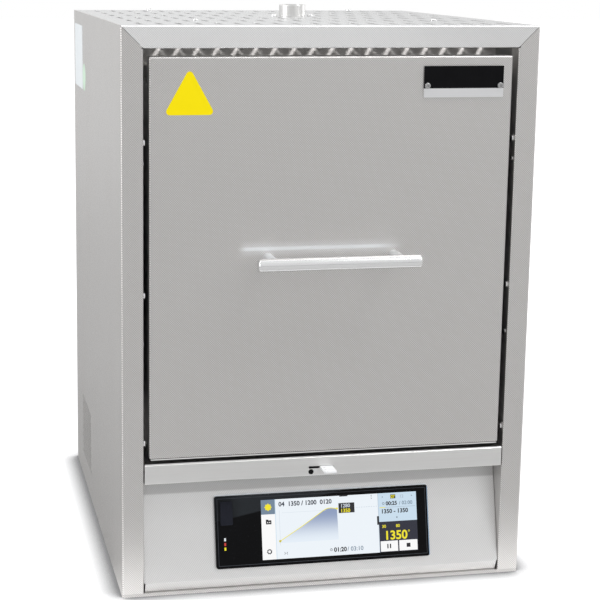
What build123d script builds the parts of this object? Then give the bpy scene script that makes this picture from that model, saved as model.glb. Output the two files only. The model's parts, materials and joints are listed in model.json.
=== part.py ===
"""Compact muffle furnace with a parallel-guided lift door, built as separate pieces in one frame.

Millimetres. +Z is up, the front faces -Y, X is centred and Z = 0 is the underside of the base pan.
"""

import os
from math import cos, radians, sin, tan

from build123d import *

# Outer housing
WIDTH = 385.0
DEPTH = 425.0
HEIGHT = 525.0
SHEET = 1.5
BASE_T = 3.0
EDGE_R = 2.0
FRONT = -DEPTH / 2
REAR = DEPTH / 2
SIDE = WIDTH / 2
FIT = 0.1

# Front frame
POST_W = 20.0
RAIL_H = 20.0
POST_RETURN = 18.0
CHEEK_RETURN = 60.0
RAIL_RETURN = 12.5
MITRE_GAP = 0.3
POST_X = SIDE - POST_W
RAIL_Z = HEIGHT - RAIL_H

# Door
DOOR_GAP_SIDE = 5.0
DOOR_GAP_TOP = 7.0
DOOR_GAP_BOTTOM = 5.5
DOOR_BOTTOM = 132.0
PAN_DEPTH = 14.0
DOOR_X = POST_X - DOOR_GAP_SIDE
DOOR_TOP = RAIL_Z - DOOR_GAP_TOP
DOOR_MID = (DOOR_TOP + DOOR_BOTTOM) / 2
PLATE_REAR = FRONT + PAN_DEPTH

# Cover under the roof, with an upright front that closes the view over the door
COVER_X = POST_X + 2.5
COVER_Z = DOOR_TOP - 2.5
COVER_LIP_Z = DOOR_TOP - 12.0

# Sill and the leaning control panel
SILL_TOP = DOOR_BOTTOM - DOOR_GAP_BOTTOM
SILL_H = 18.5
SILL_BOTTOM = SILL_TOP - SILL_H
SILL_RETURN = 24.5
SILL_X = POST_X - 0.9
LEAN = 13.8
PANEL_X = POST_X - 1.5
PANEL_FOOT_Y = FRONT + 0.2
PANEL_FOOT_Z = 12.0
PANEL_TOP = SILL_BOTTOM - 0.6
PANEL_TOP_Y = PANEL_FOOT_Y + (PANEL_TOP - PANEL_FOOT_Z) * tan(radians(LEAN))
LEAN_T = SHEET / cos(radians(LEAN))

# Controller on the panel, measured along the slope from the foot of the lean
GLASS_W = 208.0
GLASS_H = 67.6
GLASS_S = 43.2
GLASS_T = 2.0
SCREEN_W = 152.2
SCREEN_H = 55.8
SCREEN_X = 16.5
SCREEN_T = 3.0
MODULE_W = 196.0
MODULE_H = 60.0
MODULE_T = 30.0
FLAP_W = 11.7
FLAP_H = 22.0
FLAP_T = 1.2
FLAP_LEFT = -GLASS_W / 2 + 5.2
FLAP_S = GLASS_S + GLASS_H / 2 - 5.3 - FLAP_H / 2
FLAP_X = FLAP_LEFT + FLAP_W / 2
SOCKET_W = 6.4
SOCKET_H = 14.0

# Heated chamber and its insulation
CHAMBER_W = 110.0
CHAMBER_D = 120.0
WALL = 80.0
REAR_WALL = 90.0
COLLAR_T = 12.0
UNDER_SPACE = 145.0
HEAD_SPACE = 100.0
BLOCK_Z = UNDER_SPACE
BLOCK_TOP = HEIGHT - HEAD_SPACE
CHAMBER_Z = BLOCK_Z + WALL
CHAMBER_TOP = BLOCK_TOP - WALL
CHAMBER_H = CHAMBER_TOP - CHAMBER_Z
CHAMBER_FRONT = -126.0
CHAMBER_REAR = CHAMBER_FRONT + CHAMBER_D
CHAMBER_MID = (CHAMBER_FRONT + CHAMBER_REAR) / 2
BLOCK_X = CHAMBER_W / 2 + WALL
BLOCK_REAR = CHAMBER_REAR + REAR_WALL
COLLAR_FRONT = CHAMBER_FRONT - COLLAR_T
INNER_PANEL_Y = COLLAR_FRONT - 7.5
SILL_REAR = INNER_PANEL_Y - 2.0
CASING_X = BLOCK_X + SHEET
LID_TOP = BLOCK_TOP + SHEET

# Heating elements: hairpins that hang along both side walls
HOT_R = 2.0
TERMINAL_R = 4.5
LEG_SPACING = 25.0
ELEMENT_X = 46.0
ELEMENT_Y = (-93.5, -38.5)
BEND_Z = CHAMBER_Z + 27.5
TERMINAL_TOP = LID_TOP + 51.5
HOLDER_H = 14.0

# Thermocouple
SHEATH_R = 4.0
SHEATH_TIP = CHAMBER_TOP - 25.0
HEAD_Z = LID_TOP + 18.5
HEAD_H = 18.0

# Exhaust
STUB_X = 15.0
STUB_Y = 20.0
STUB_R = 13.5
STUB_BORE = 11.2
STUB_RISE = 12.0
DUCT_R = 11.0
DUCT_BORE = 7.0
DUCT_FOOT = CHAMBER_TOP - 22.0

# Air inlet: a ceramic pipe from below, closed by a sliding plate with a lever at the front
PIPE_R = 6.0
PIPE_BORE = 3.0
LEVER_W = 12.0
LEVER_T = 1.5
LEVER_X = -0.6
LEVER_Z = 116.4
LEVER_PROUD = 17.0
SLIDE_TRAVEL = 10.0
SLIDE_GAP = 0.4
SLIDE_HALF = 16.0

# Lift linkage: two pairs of equal arms
ARM = 165.0
ARM_CLOSED = 72.0
ARM_T = 5.0
ARM_W = 18.0
ARM_X = 158.0
ARM_SPACING = 120.0
SHAFT_R = 5.0
PIN_R = 4.0
BEARING_GAP = 0.05
OPEN_GAP = 0.35
PIVOT_Y = -134.0
PIVOT_Z = 450.0
LOWER_Z = PIVOT_Z - ARM_SPACING
ARM_BACK = ARM * cos(radians(ARM_CLOSED))
ARM_DROP = ARM * sin(radians(ARM_CLOSED))
DOOR_PIVOT_Y = PIVOT_Y - ARM_BACK
DOOR_PIVOT_Z = PIVOT_Z - ARM_DROP
DOOR_LOWER_Z = LOWER_Z - ARM_DROP
LINK_X = ARM_X + 6.0
BRACKET_X = ARM_X - 8.0
LINK_T = 2.0

# Door insulation
SLAB_X = 100.0
SLAB_Z0 = CHAMBER_Z - 30.0
SLAB_Z1 = CHAMBER_TOP + 30.0
SLAB_REAR = COLLAR_FRONT - 1.0
PLUG_TIP = CHAMBER_FRONT - 1.0

# Handle
HANDLE_R = 6.0
HANDLE_L = 150.0
HANDLE_Z = DOOR_MID + 1.0
HANDLE_Y = FRONT - 32.0
HANDLE_POST_R = 5.0
HANDLE_POST_X = 59.0

# Name plate
PLATE_L = 75.4
PLATE_H = 28.4
PLATE_X1 = DOOR_X - 9.1
PLATE_X0 = PLATE_X1 - PLATE_L
PLATE_Z1 = DOOR_TOP - 9.2
PLATE_Z0 = PLATE_Z1 - PLATE_H
PLATE_T = 1.2
PLATE_SCREW_X = (PLATE_X0 + 3.1, PLATE_X1 - 3.1)
PLATE_SCREW_Z = PLATE_Z1 - 17.8

# Screws
SCREW_R = 3.2
SCREW_H = 2.0
SHANK_R = 2.0
ROOF_SCREWS = ((-108.0, -105.0), (126.0, -105.0), (-108.0, 205.0), (126.0, 205.0))
STUB_SCREW_X = 19.0
REAR_SCREW_X = SIDE - 12.5
REAR_SCREWS = [(x, z) for z in (30.0, HEIGHT / 2 + 2.5, HEIGHT - 25.0) for x in (-REAR_SCREW_X, REAR_SCREW_X)]
POST_SCREW_Z = (146.0, 284.0, 422.0)
POST_STUD_Z = (239.0, 403.0)
POST_SCREW_Y = FRONT + 6.5

# Roof slots and side vents
SLOT_PITCH_X = 18.0
SLOT_PITCH_Y = 69.0
SLOT_COLUMNS = 20
SLOT_ROWS = 6
SLOT_L = 36.0
SLOT_W = 4.5
VENT_Y = 103.0
VENT_Z = 61.0
VENT_PITCH = 9.0
VENT_R = 2.3

# Electrics
FAN_X = -100.0
FAN_Z = 75.0
FAN_SIZE = 80.0
FAN_T = 25.0
FAN_BORE = 38.0
ROTOR_R = 36.0
HUB_R = 16.0
FAN_PIN_R = 2.0
INLET_X = 125.0
INLET_Z = 60.0
INLET_W = 30.0
INLET_H = 26.0
SWITCH_X = 80.0
SWITCH_Z = 60.0
SWITCH_W = 20.0
SWITCH_H = 28.0
CORE_X = 60.0
CORE_Y = 60.0
CORE_W = 96.0
CORE_D = 40.0
CORE_H = 80.0
LIMB = 16.0

SLOPE = Plane(
    origin=(0, PANEL_FOOT_Y, PANEL_FOOT_Z),
    x_dir=(1, 0, 0),
    z_dir=(0, -cos(radians(LEAN)), sin(radians(LEAN))),
)
ALONG_X = (0, 90, 0)
ALONG_Y = (90, 0, 0)


def block(x0, x1, y0, y1, z0, z1, mode=Mode.ADD):
    """A box between two corners, in the part being built."""
    with Locations(((x0 + x1) / 2, (y0 + y1) / 2, (z0 + z1) / 2)):
        Box(x1 - x0, y1 - y0, z1 - z0, mode=mode)


def rod(centre, radius, length, turn=(0, 0, 0), mode=Mode.ADD):
    """A cylinder about its centre, in the part being built."""
    with Locations(Location(centre, turn)):
        Cylinder(radius, length, mode=mode)


os.makedirs("parts", exist_ok=True)
done = []


def keep(part, name):
    """Labels a finished piece and lists it for export."""
    part.label = name
    done.append((name, part))


# ---------------------------------------------------------------- housing

with BuildPart() as base_pan:
    with BuildSketch(Plane.XY):
        Rectangle(WIDTH, DEPTH)
        with GridLocations(14, 40, 12, 3):
            SlotOverall(30, 4, rotation=90, mode=Mode.SUBTRACT)
    extrude(amount=BASE_T)
    fillet(base_pan.edges().filter_by(Axis.Z).group_by(SortBy.LENGTH)[0].filter_by(
        lambda e: abs(e.center().X) > SIDE - 1), EDGE_R)
    for hand in (-1, 1):
        x = hand * (SIDE - SHEET - SHEET / 2)
        block(x - SHEET / 2, x + SHEET / 2, FRONT + 80, REAR - 10, BASE_T, BASE_T + 15)
keep(base_pan.part, "base_pan")

for hand, side_name in ((-1, "side_panel_left"), (1, "side_panel_right")):
    with BuildPart() as side_panel:
        with BuildSketch(Plane.XY.offset(BASE_T)):
            with BuildLine():
                Polyline(
                    (hand * SIDE, REAR),
                    (hand * SIDE, FRONT),
                    (hand * POST_X, FRONT),
                    (hand * POST_X, FRONT + CHEEK_RETURN),
                    (hand * (POST_X + SHEET), FRONT + CHEEK_RETURN),
                    (hand * (POST_X + SHEET), FRONT + SHEET),
                    (hand * (SIDE - SHEET), FRONT + SHEET),
                    (hand * (SIDE - SHEET), REAR),
                    close=True,
                )
            make_face()
        extrude(amount=HEIGHT - BASE_T)
        front_edges = side_panel.edges().filter_by(Axis.Z).filter_by(
            lambda e: abs(e.center().Y - FRONT) < 0.1)
        fillet(front_edges.filter_by(lambda e: abs(e.center().X) > SIDE - 0.1), EDGE_R)
        front_edges = side_panel.edges().filter_by(Axis.Z).filter_by(
            lambda e: abs(e.center().Y - FRONT) < 0.1)
        fillet(front_edges.filter_by(lambda e: abs(abs(e.center().X) - POST_X) < 0.1), 1.2)
        with BuildSketch(Plane.XZ.offset(-FRONT + 1)):
            with BuildLine():
                Polyline(
                    (hand * (SIDE + 1), HEIGHT + 1 - MITRE_GAP),
                    (hand * (POST_X - 1), RAIL_Z - 1 - MITRE_GAP),
                    (hand * (POST_X - 1), HEIGHT + 2),
                    (hand * (SIDE + 1), HEIGHT + 2),
                    close=True,
                )
            make_face()
        extrude(amount=-(SHEET + 1.1), mode=Mode.SUBTRACT)
        x0, x1 = sorted((hand * (POST_X - 1), hand * (POST_X + SHEET + 0.1)))
        block(x0, x1, FRONT, FRONT + CHEEK_RETURN + 1, RAIL_Z - MITRE_GAP, HEIGHT + 1, Mode.SUBTRACT)
        block(x0, x1, FRONT + POST_RETURN, FRONT + CHEEK_RETURN + 1, SILL_TOP, HEIGHT, Mode.SUBTRACT)
        with BuildSketch(Plane.YZ.offset(hand * (SIDE + 1))):
            with Locations((VENT_Y, VENT_Z)):
                with GridLocations(VENT_PITCH, VENT_PITCH, 10, 8):
                    Circle(VENT_R)
                with GridLocations(VENT_PITCH, VENT_PITCH, 9, 7):
                    Circle(VENT_R)
        extrude(amount=-hand * (SHEET + 2), mode=Mode.SUBTRACT)
        for z in POST_SCREW_Z + POST_STUD_Z:
            rod((hand * (POST_X + 1), POST_SCREW_Y, z), SHANK_R, 8, ALONG_X, Mode.SUBTRACT)
    keep(side_panel.part, side_name)

with BuildPart() as roof_panel:
    block(-(SIDE - SHEET - FIT), SIDE - SHEET - FIT, FRONT + 0.5, REAR - SHEET, HEIGHT - SHEET, HEIGHT)
    with BuildSketch(Plane.XZ.offset(-FRONT)):
        with BuildLine():
            Polyline(
                (-SIDE + MITRE_GAP, HEIGHT),
                (-POST_X + MITRE_GAP, RAIL_Z),
                (POST_X - MITRE_GAP, RAIL_Z),
                (SIDE - MITRE_GAP, HEIGHT),
                close=True,
            )
        make_face()
    extrude(amount=-SHEET)
    block(-POST_X + 0.4, POST_X - 0.4, FRONT + 0.5, FRONT + RAIL_RETURN, RAIL_Z, RAIL_Z + SHEET)
    fillet(roof_panel.edges().filter_by(Axis.X).filter_by(
        lambda e: abs(e.center().Y - FRONT) < 0.1 and e.center().Z > HEIGHT - 0.1), 1.4)
    fillet(roof_panel.edges().filter_by(Axis.X).filter_by(
        lambda e: abs(e.center().Y - FRONT) < 0.1 and e.center().Z < RAIL_Z + 0.1), 1.0)
    with BuildSketch(Plane.XY.offset(HEIGHT + 1)):
        for slot in GridLocations(SLOT_PITCH_X, SLOT_PITCH_Y, SLOT_COLUMNS, SLOT_ROWS):
            near_x = abs(slot.position.X - STUB_X) < STUB_SCREW_X + 6
            near_y = slot.position.Y - SLOT_L / 2 < STUB_Y + STUB_R < slot.position.Y + SLOT_L / 2
            if not (near_x and near_y):
                with Locations(slot):
                    SlotOverall(SLOT_L, SLOT_W, rotation=90)
        with Locations((STUB_X, STUB_Y)):
            Circle(STUB_R + 0.2)
        with Locations((STUB_X - STUB_SCREW_X, STUB_Y), (STUB_X + STUB_SCREW_X, STUB_Y), *ROOF_SCREWS):
            Circle(SHANK_R)
    extrude(amount=-(SHEET + 2), mode=Mode.SUBTRACT)
keep(roof_panel.part, "roof_panel")

with BuildPart() as rear_panel:
    with BuildSketch(Plane.XZ.offset(-(REAR - SHEET))):
        with Locations((0, (BASE_T + HEIGHT) / 2)):
            Rectangle(2 * (SIDE - SHEET - FIT), HEIGHT - BASE_T - 0.2)
        with Locations((INLET_X, INLET_Z)):
            Rectangle(INLET_W + 0.4, INLET_H + 0.4, mode=Mode.SUBTRACT)
        with Locations((SWITCH_X, SWITCH_Z)):
            Rectangle(SWITCH_W + 0.4, SWITCH_H + 0.4, mode=Mode.SUBTRACT)
        for row in range(-3, 4):
            with Locations((FAN_X, FAN_Z + 9 * row)):
                SlotOverall(2 * (36.0**2 - (9 * row) ** 2) ** 0.5 - 2, 5, mode=Mode.SUBTRACT)
        with Locations((0, HEIGHT - 95)):
            with GridLocations(SLOT_PITCH_X, 50, 14, 2):
                SlotOverall(SLOT_L, SLOT_W, rotation=90, mode=Mode.SUBTRACT)
        with Locations(*REAR_SCREWS):
            Circle(SHANK_R, mode=Mode.SUBTRACT)
    extrude(amount=-SHEET)
keep(rear_panel.part, "rear_panel")

with BuildPart() as inner_cover:
    block(-COVER_X, COVER_X, INNER_PANEL_Y - SHEET, 120, COVER_Z, COVER_Z + SHEET)
    block(-COVER_X, COVER_X, INNER_PANEL_Y - SHEET, INNER_PANEL_Y, COVER_LIP_Z, HEIGHT - SHEET - FIT)
    block(-COVER_X, COVER_X, INNER_PANEL_Y - 5, INNER_PANEL_Y, COVER_LIP_Z, COVER_LIP_Z + SHEET)
    rod((STUB_X, STUB_Y, DOOR_TOP), DUCT_R + 1.5, 30, mode=Mode.SUBTRACT)
keep(inner_cover.part, "inner_cover")

with BuildPart() as sill_panel:
    with BuildSketch(Plane.YZ.offset(-SILL_X)):
        with BuildLine():
            Polyline(
                (FRONT + SILL_RETURN, SILL_BOTTOM),
                (FRONT, SILL_BOTTOM),
                (FRONT, SILL_TOP),
                (SILL_REAR, SILL_TOP),
                (SILL_REAR, SILL_TOP - SHEET),
                (FRONT + SHEET, SILL_TOP - SHEET),
                (FRONT + SHEET, SILL_BOTTOM + SHEET),
                (FRONT + SILL_RETURN, SILL_BOTTOM + SHEET),
                close=True,
            )
        make_face()
    extrude(amount=2 * SILL_X)
    fillet(sill_panel.edges().filter_by(Axis.X).filter_by(lambda e: abs(e.center().Y - FRONT) < 0.1), 1.3)
    slit_half = (LEVER_W + SLIDE_TRAVEL) / 2 + 0.8
    slit_x = LEVER_X - SLIDE_TRAVEL / 2
    block(slit_x - slit_half, slit_x + slit_half, FRONT - 1, FRONT + SHEET + 1,
          LEVER_Z - LEVER_T / 2 - 0.35, LEVER_Z + LEVER_T / 2 + 0.35, Mode.SUBTRACT)
keep(sill_panel.part, "sill_panel")

with BuildPart() as control_panel:
    with BuildSketch(Plane.YZ.offset(-PANEL_X)):
        with BuildLine():
            Polyline(
                (FRONT + 3.4, BASE_T + 0.2),
                (PANEL_FOOT_Y, PANEL_FOOT_Z),
                (PANEL_TOP_Y, PANEL_TOP),
                (PANEL_TOP_Y + 18, PANEL_TOP),
                (PANEL_TOP_Y + 18, PANEL_TOP - SHEET),
                (PANEL_TOP_Y + LEAN_T - 0.4, PANEL_TOP - SHEET),
                (PANEL_FOOT_Y + LEAN_T, PANEL_FOOT_Z),
                (FRONT + 3.4 + SHEET, BASE_T + 0.2),
                close=True,
            )
        make_face()
    extrude(amount=2 * PANEL_X)
    fillet(control_panel.edges().filter_by(Axis.X).filter_by(
        lambda e: abs(e.center().Y - PANEL_FOOT_Y) < 0.1 and abs(e.center().Z - PANEL_FOOT_Z) < 0.1), 1.3)
    with BuildSketch(SLOPE.offset(2)):
        with Locations((0, GLASS_S)):
            Rectangle(MODULE_W + 0.6, MODULE_H + 0.6)
    extrude(amount=-6, mode=Mode.SUBTRACT)
keep(control_panel.part, "control_panel")

with BuildPart() as front_inner_panel:
    with BuildSketch(Plane.XZ.offset(-INNER_PANEL_Y)):
        with Locations((0, (SILL_TOP + COVER_Z) / 2)):
            Rectangle(300, COVER_Z - SILL_TOP)
        with Locations((0, (SLAB_Z0 + SLAB_Z1) / 2)):
            Rectangle(2 * SLAB_X + 12, SLAB_Z1 - SLAB_Z0 + 16, mode=Mode.SUBTRACT)
    extrude(amount=-SHEET)
keep(front_inner_panel.part, "front_inner_panel")

# ---------------------------------------------------------------- inner casing and insulation

with BuildPart() as inner_casing:
    block(-CASING_X, -BLOCK_X, COLLAR_FRONT, BLOCK_REAR + SHEET, BASE_T, BLOCK_TOP)
    block(BLOCK_X, CASING_X, COLLAR_FRONT, BLOCK_REAR + SHEET, BASE_T, BLOCK_TOP)
    block(-BLOCK_X, BLOCK_X, COLLAR_FRONT, BLOCK_REAR, BLOCK_Z - SHEET, BLOCK_Z)
    block(-BLOCK_X, BLOCK_X, BLOCK_REAR, BLOCK_REAR + SHEET, BLOCK_Z - SHEET, BLOCK_TOP)
    rod((0, CHAMBER_MID, BLOCK_Z), PIPE_R + 1, 10, mode=Mode.SUBTRACT)
keep(inner_casing.part, "inner_casing")

with BuildPart() as casing_lid:
    with BuildSketch(Plane.XY.offset(BLOCK_TOP)):
        with Locations((0, (COLLAR_FRONT + BLOCK_REAR) / 2)):
            Rectangle(2 * CASING_X, BLOCK_REAR - COLLAR_FRONT)
        for hand in (-1, 1):
            with Locations(*[(hand * ELEMENT_X, y) for y in ELEMENT_Y]):
                SlotOverall(LEG_SPACING + 14, 12, rotation=90, mode=Mode.SUBTRACT)
        with Locations((0, CHAMBER_MID)):
            Circle(5, mode=Mode.SUBTRACT)
        with Locations((STUB_X, STUB_Y)):
            Circle(DUCT_R + 1, mode=Mode.SUBTRACT)
    extrude(amount=SHEET)
keep(casing_lid.part, "casing_lid")

with BuildPart() as opening_collar:
    block(-BLOCK_X, BLOCK_X, COLLAR_FRONT, CHAMBER_FRONT, BLOCK_Z, BLOCK_TOP)
    with BuildSketch(Plane.XZ.offset(-COLLAR_FRONT)):
        with Locations((0, CHAMBER_Z + CHAMBER_H / 2)):
            Rectangle(CHAMBER_W + 16, CHAMBER_H + 16)
    with BuildSketch(Plane.XZ.offset(-CHAMBER_FRONT)):
        with Locations((0, CHAMBER_Z + CHAMBER_H / 2)):
            Rectangle(CHAMBER_W + 2, CHAMBER_H + 2)
    loft(mode=Mode.SUBTRACT)
keep(opening_collar.part, "opening_collar")

with BuildPart() as insulation_floor:
    block(-BLOCK_X, BLOCK_X, CHAMBER_FRONT, CHAMBER_REAR, BLOCK_Z, CHAMBER_Z)
    rod((0, CHAMBER_MID, CHAMBER_Z - WALL / 2), PIPE_R + 0.2, WALL + 2, mode=Mode.SUBTRACT)
keep(insulation_floor.part, "insulation_floor")

for hand, wall_name in ((-1, "insulation_left"), (1, "insulation_right")):
    with BuildPart() as wall_block:
        x0, x1 = sorted((hand * CHAMBER_W / 2, hand * BLOCK_X))
        block(x0, x1, CHAMBER_FRONT, CHAMBER_REAR, CHAMBER_Z, CHAMBER_TOP)
    keep(wall_block.part, wall_name)

with BuildPart() as insulation_roof:
    block(-BLOCK_X, BLOCK_X, CHAMBER_FRONT, CHAMBER_REAR, CHAMBER_TOP, BLOCK_TOP)
    for x in (-ELEMENT_X, ELEMENT_X):
        for y in ELEMENT_Y:
            for leg in (-LEG_SPACING / 2, LEG_SPACING / 2):
                rod((x, y + leg, CHAMBER_TOP + WALL / 2), TERMINAL_R + 0.2, WALL + 2, mode=Mode.SUBTRACT)
    rod((0, CHAMBER_MID, CHAMBER_TOP + WALL / 2), 4.2, WALL + 2, mode=Mode.SUBTRACT)
keep(insulation_roof.part, "insulation_roof")

with BuildPart() as insulation_rear:
    block(-BLOCK_X, BLOCK_X, CHAMBER_REAR, BLOCK_REAR, BLOCK_Z, BLOCK_TOP)
    rod((STUB_X, STUB_Y, (DUCT_FOOT + BLOCK_TOP + 1) / 2), DUCT_R + 0.2, BLOCK_TOP + 1 - DUCT_FOOT,
        mode=Mode.SUBTRACT)
    rod((STUB_X, CHAMBER_REAR + 8, DUCT_FOOT + 8), DUCT_BORE, 20, ALONG_Y, Mode.SUBTRACT)
keep(insulation_rear.part, "insulation_rear")

with BuildPart() as hearth_plate:
    block(-CHAMBER_W / 2 + 2, CHAMBER_W / 2 - 2, CHAMBER_FRONT + 3, CHAMBER_REAR - 3, CHAMBER_Z, CHAMBER_Z + 8)
    chamfer(hearth_plate.faces().sort_by(Axis.Z)[-1].edges(), 1)
    rod((0, CHAMBER_MID, CHAMBER_Z + 4), PIPE_BORE + 1, 20, mode=Mode.SUBTRACT)
keep(hearth_plate.part, "hearth_plate")

# ---------------------------------------------------------------- heating, sensing and air

with BuildPart() as heating_elements:
    for x in (-ELEMENT_X, ELEMENT_X):
        for y in ELEMENT_Y:
            ya = y - LEG_SPACING / 2
            yb = y + LEG_SPACING / 2
            with BuildLine() as hairpin:
                Line((x, ya, CHAMBER_TOP + 10), (x, ya, BEND_Z))
                ThreePointArc((x, ya, BEND_Z), (x, y, BEND_Z - LEG_SPACING / 2), (x, yb, BEND_Z))
                Line((x, yb, BEND_Z), (x, yb, CHAMBER_TOP + 10))
            with BuildSketch(Plane(origin=(x, ya, CHAMBER_TOP + 10), z_dir=(0, 0, -1))):
                Circle(HOT_R)
            sweep()
            for yy in (ya, yb):
                rod((x, yy, (CHAMBER_TOP + 5 + TERMINAL_TOP) / 2), TERMINAL_R, TERMINAL_TOP - CHAMBER_TOP - 5)
keep(heating_elements.part, "heating_elements")

with BuildPart() as element_holders:
    for x in (-ELEMENT_X, ELEMENT_X):
        for y in ELEMENT_Y:
            block(x - 11, x + 11, y - 25, y + 25, LID_TOP, LID_TOP + HOLDER_H)
            for leg in (-LEG_SPACING / 2, LEG_SPACING / 2):
                rod((x, y + leg, LID_TOP + HOLDER_H / 2), TERMINAL_R + 0.1, HOLDER_H + 2, mode=Mode.SUBTRACT)
keep(element_holders.part, "element_holders")

STRAP_Z = TERMINAL_TOP - 10
with BuildPart() as connection_straps:
    inner_a = ELEMENT_Y[0] + LEG_SPACING / 2
    inner_b = ELEMENT_Y[1] - LEG_SPACING / 2
    rear_y = ELEMENT_Y[1] + LEG_SPACING / 2
    for x in (-ELEMENT_X, ELEMENT_X):
        block(x - 7, x + 7, inner_a - 7, inner_b + 7, STRAP_Z - 2, STRAP_Z + 2)
        block(x - 7, x + 7, ELEMENT_Y[0] - LEG_SPACING / 2 - 7, ELEMENT_Y[0] - LEG_SPACING / 2 + 7,
              STRAP_Z - 6, STRAP_Z + 6)
    block(-ELEMENT_X - 7, ELEMENT_X + 7, rear_y - 7, rear_y + 7, STRAP_Z - 2, STRAP_Z + 2)
    for x in (-ELEMENT_X, ELEMENT_X):
        for y in ELEMENT_Y:
            for leg in (-LEG_SPACING / 2, LEG_SPACING / 2):
                rod((x, y + leg, STRAP_Z), TERMINAL_R, 20, mode=Mode.SUBTRACT)
keep(connection_straps.part, "connection_straps")

with BuildPart() as thermocouple_sheath:
    rod((0, CHAMBER_MID, (SHEATH_TIP + HEAD_Z) / 2), SHEATH_R, HEAD_Z - SHEATH_TIP)
    fillet(thermocouple_sheath.faces().sort_by(Axis.Z)[0].edges(), 3)
keep(thermocouple_sheath.part, "thermocouple_sheath")

with BuildPart() as thermocouple_head:
    block(-15, 15, CHAMBER_MID - 10, CHAMBER_MID + 10, HEAD_Z, HEAD_Z + HEAD_H)
    fillet(thermocouple_head.edges().filter_by(Axis.Z), 3)
    for x in (-8, 8):
        rod((x, CHAMBER_MID, HEAD_Z + HEAD_H + 1), 2.5, 2)
keep(thermocouple_head.part, "thermocouple_head")

with BuildPart() as exhaust_duct:
    duct_top = HEIGHT - SHEET - 2.3
    rod((STUB_X, STUB_Y, (DUCT_FOOT + duct_top) / 2), DUCT_R, duct_top - DUCT_FOOT)
    rod((STUB_X, STUB_Y, (DUCT_FOOT + 3 + duct_top + 1) / 2), DUCT_BORE, duct_top + 1 - DUCT_FOOT - 3,
        mode=Mode.SUBTRACT)
    rod((STUB_X, STUB_Y - 8, DUCT_FOOT + 11), DUCT_BORE - 0.5, 16, ALONG_Y, Mode.SUBTRACT)
keep(exhaust_duct.part, "exhaust_duct")

with BuildPart() as exhaust_stub:
    under = HEIGHT - SHEET
    rod((STUB_X, STUB_Y, under - 1), 17, 2)
    block(STUB_X - 24, STUB_X + 24, STUB_Y - 7, STUB_Y + 7, under - 2, under)
    rod((STUB_X, STUB_Y, (under + HEIGHT + STUB_RISE) / 2), STUB_R, HEIGHT + STUB_RISE - under)
    fillet(exhaust_stub.faces().sort_by(Axis.Z)[-1].edges(), 0.6)
    rod((STUB_X, STUB_Y, HEIGHT), STUB_BORE, 60, mode=Mode.SUBTRACT)
    for x in (STUB_X - STUB_SCREW_X, STUB_X + STUB_SCREW_X):
        rod((x, STUB_Y, under - 1), SHANK_R, 4, mode=Mode.SUBTRACT)
keep(exhaust_stub.part, "exhaust_stub")

with BuildPart() as air_inlet_pipe:
    pipe_foot = LEVER_Z + LEVER_T / 2 + SLIDE_GAP
    pipe_mid = (pipe_foot + CHAMBER_Z) / 2
    rod((0, CHAMBER_MID, pipe_mid), PIPE_R, CHAMBER_Z - pipe_foot)
    rod((0, CHAMBER_MID, pipe_mid), PIPE_BORE, 200, mode=Mode.SUBTRACT)
keep(air_inlet_pipe.part, "air_inlet_pipe")

with BuildPart() as air_slide:
    with BuildSketch(Plane.XY.offset(LEVER_Z - LEVER_T / 2)):
        with Locations((LEVER_X, FRONT - LEVER_PROUD / 2 + 6)):
            RectangleRounded(LEVER_W, LEVER_PROUD + 12, 1.5)
        with Locations((0, (-202 - 48) / 2)):
            Rectangle(2 * SLIDE_HALF, 202 - 48)
        with Locations((0, CHAMBER_MID)):
            Circle(PIPE_BORE + 1, mode=Mode.SUBTRACT)
    extrude(amount=LEVER_T)
keep(air_slide.part, "air_slide")

with BuildPart() as air_slide_guide:
    guide_left = -SLIDE_HALF - SLIDE_TRAVEL - 0.8
    guide_right = SLIDE_HALF + 0.8
    guide_top = BLOCK_Z - SHEET
    guide_floor = LEVER_Z - LEVER_T / 2 - SLIDE_GAP
    block(guide_left - SHEET, guide_right + SHEET, -188, -45, guide_floor - SHEET, guide_floor)
    block(guide_left - SHEET, guide_left, COLLAR_FRONT, -45, guide_floor, guide_top)
    block(guide_right, guide_right + SHEET, COLLAR_FRONT, -45, guide_floor, guide_top)
keep(air_slide_guide.part, "air_slide_guide")

# ---------------------------------------------------------------- controller

with BuildPart() as touch_panel:
    with BuildSketch(SLOPE):
        with Locations((0, GLASS_S)):
            RectangleRounded(GLASS_W, GLASS_H, 2.5)
        with Locations((FLAP_X, FLAP_S)):
            Rectangle(SOCKET_W + 0.4, SOCKET_H + 0.4, mode=Mode.SUBTRACT)
    extrude(amount=GLASS_T)
keep(touch_panel.part, "touch_panel")

with BuildPart() as display_module:
    with BuildSketch(SLOPE):
        with Locations((SCREEN_X, GLASS_S)):
            Rectangle(SCREEN_W, SCREEN_H)
    extrude(amount=-SCREEN_T)
keep(display_module.part, "display_module")

with BuildPart() as controller_housing:
    with BuildSketch(SLOPE):
        with Locations((0, GLASS_S)):
            Rectangle(MODULE_W, MODULE_H)
    extrude(amount=-MODULE_T)
    fillet(controller_housing.faces().sort_by(Axis.Y)[-1].edges(), 2)
    with BuildSketch(SLOPE):
        with Locations((SCREEN_X, GLASS_S)):
            Rectangle(SCREEN_W + 0.2, SCREEN_H + 0.2)
    extrude(amount=-SCREEN_T, mode=Mode.SUBTRACT)
    with BuildSketch(SLOPE):
        with Locations((FLAP_X, FLAP_S)):
            Rectangle(SOCKET_W + 0.4, SOCKET_H + 0.4)
    extrude(amount=-14, mode=Mode.SUBTRACT)
keep(controller_housing.part, "controller_housing")

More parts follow.
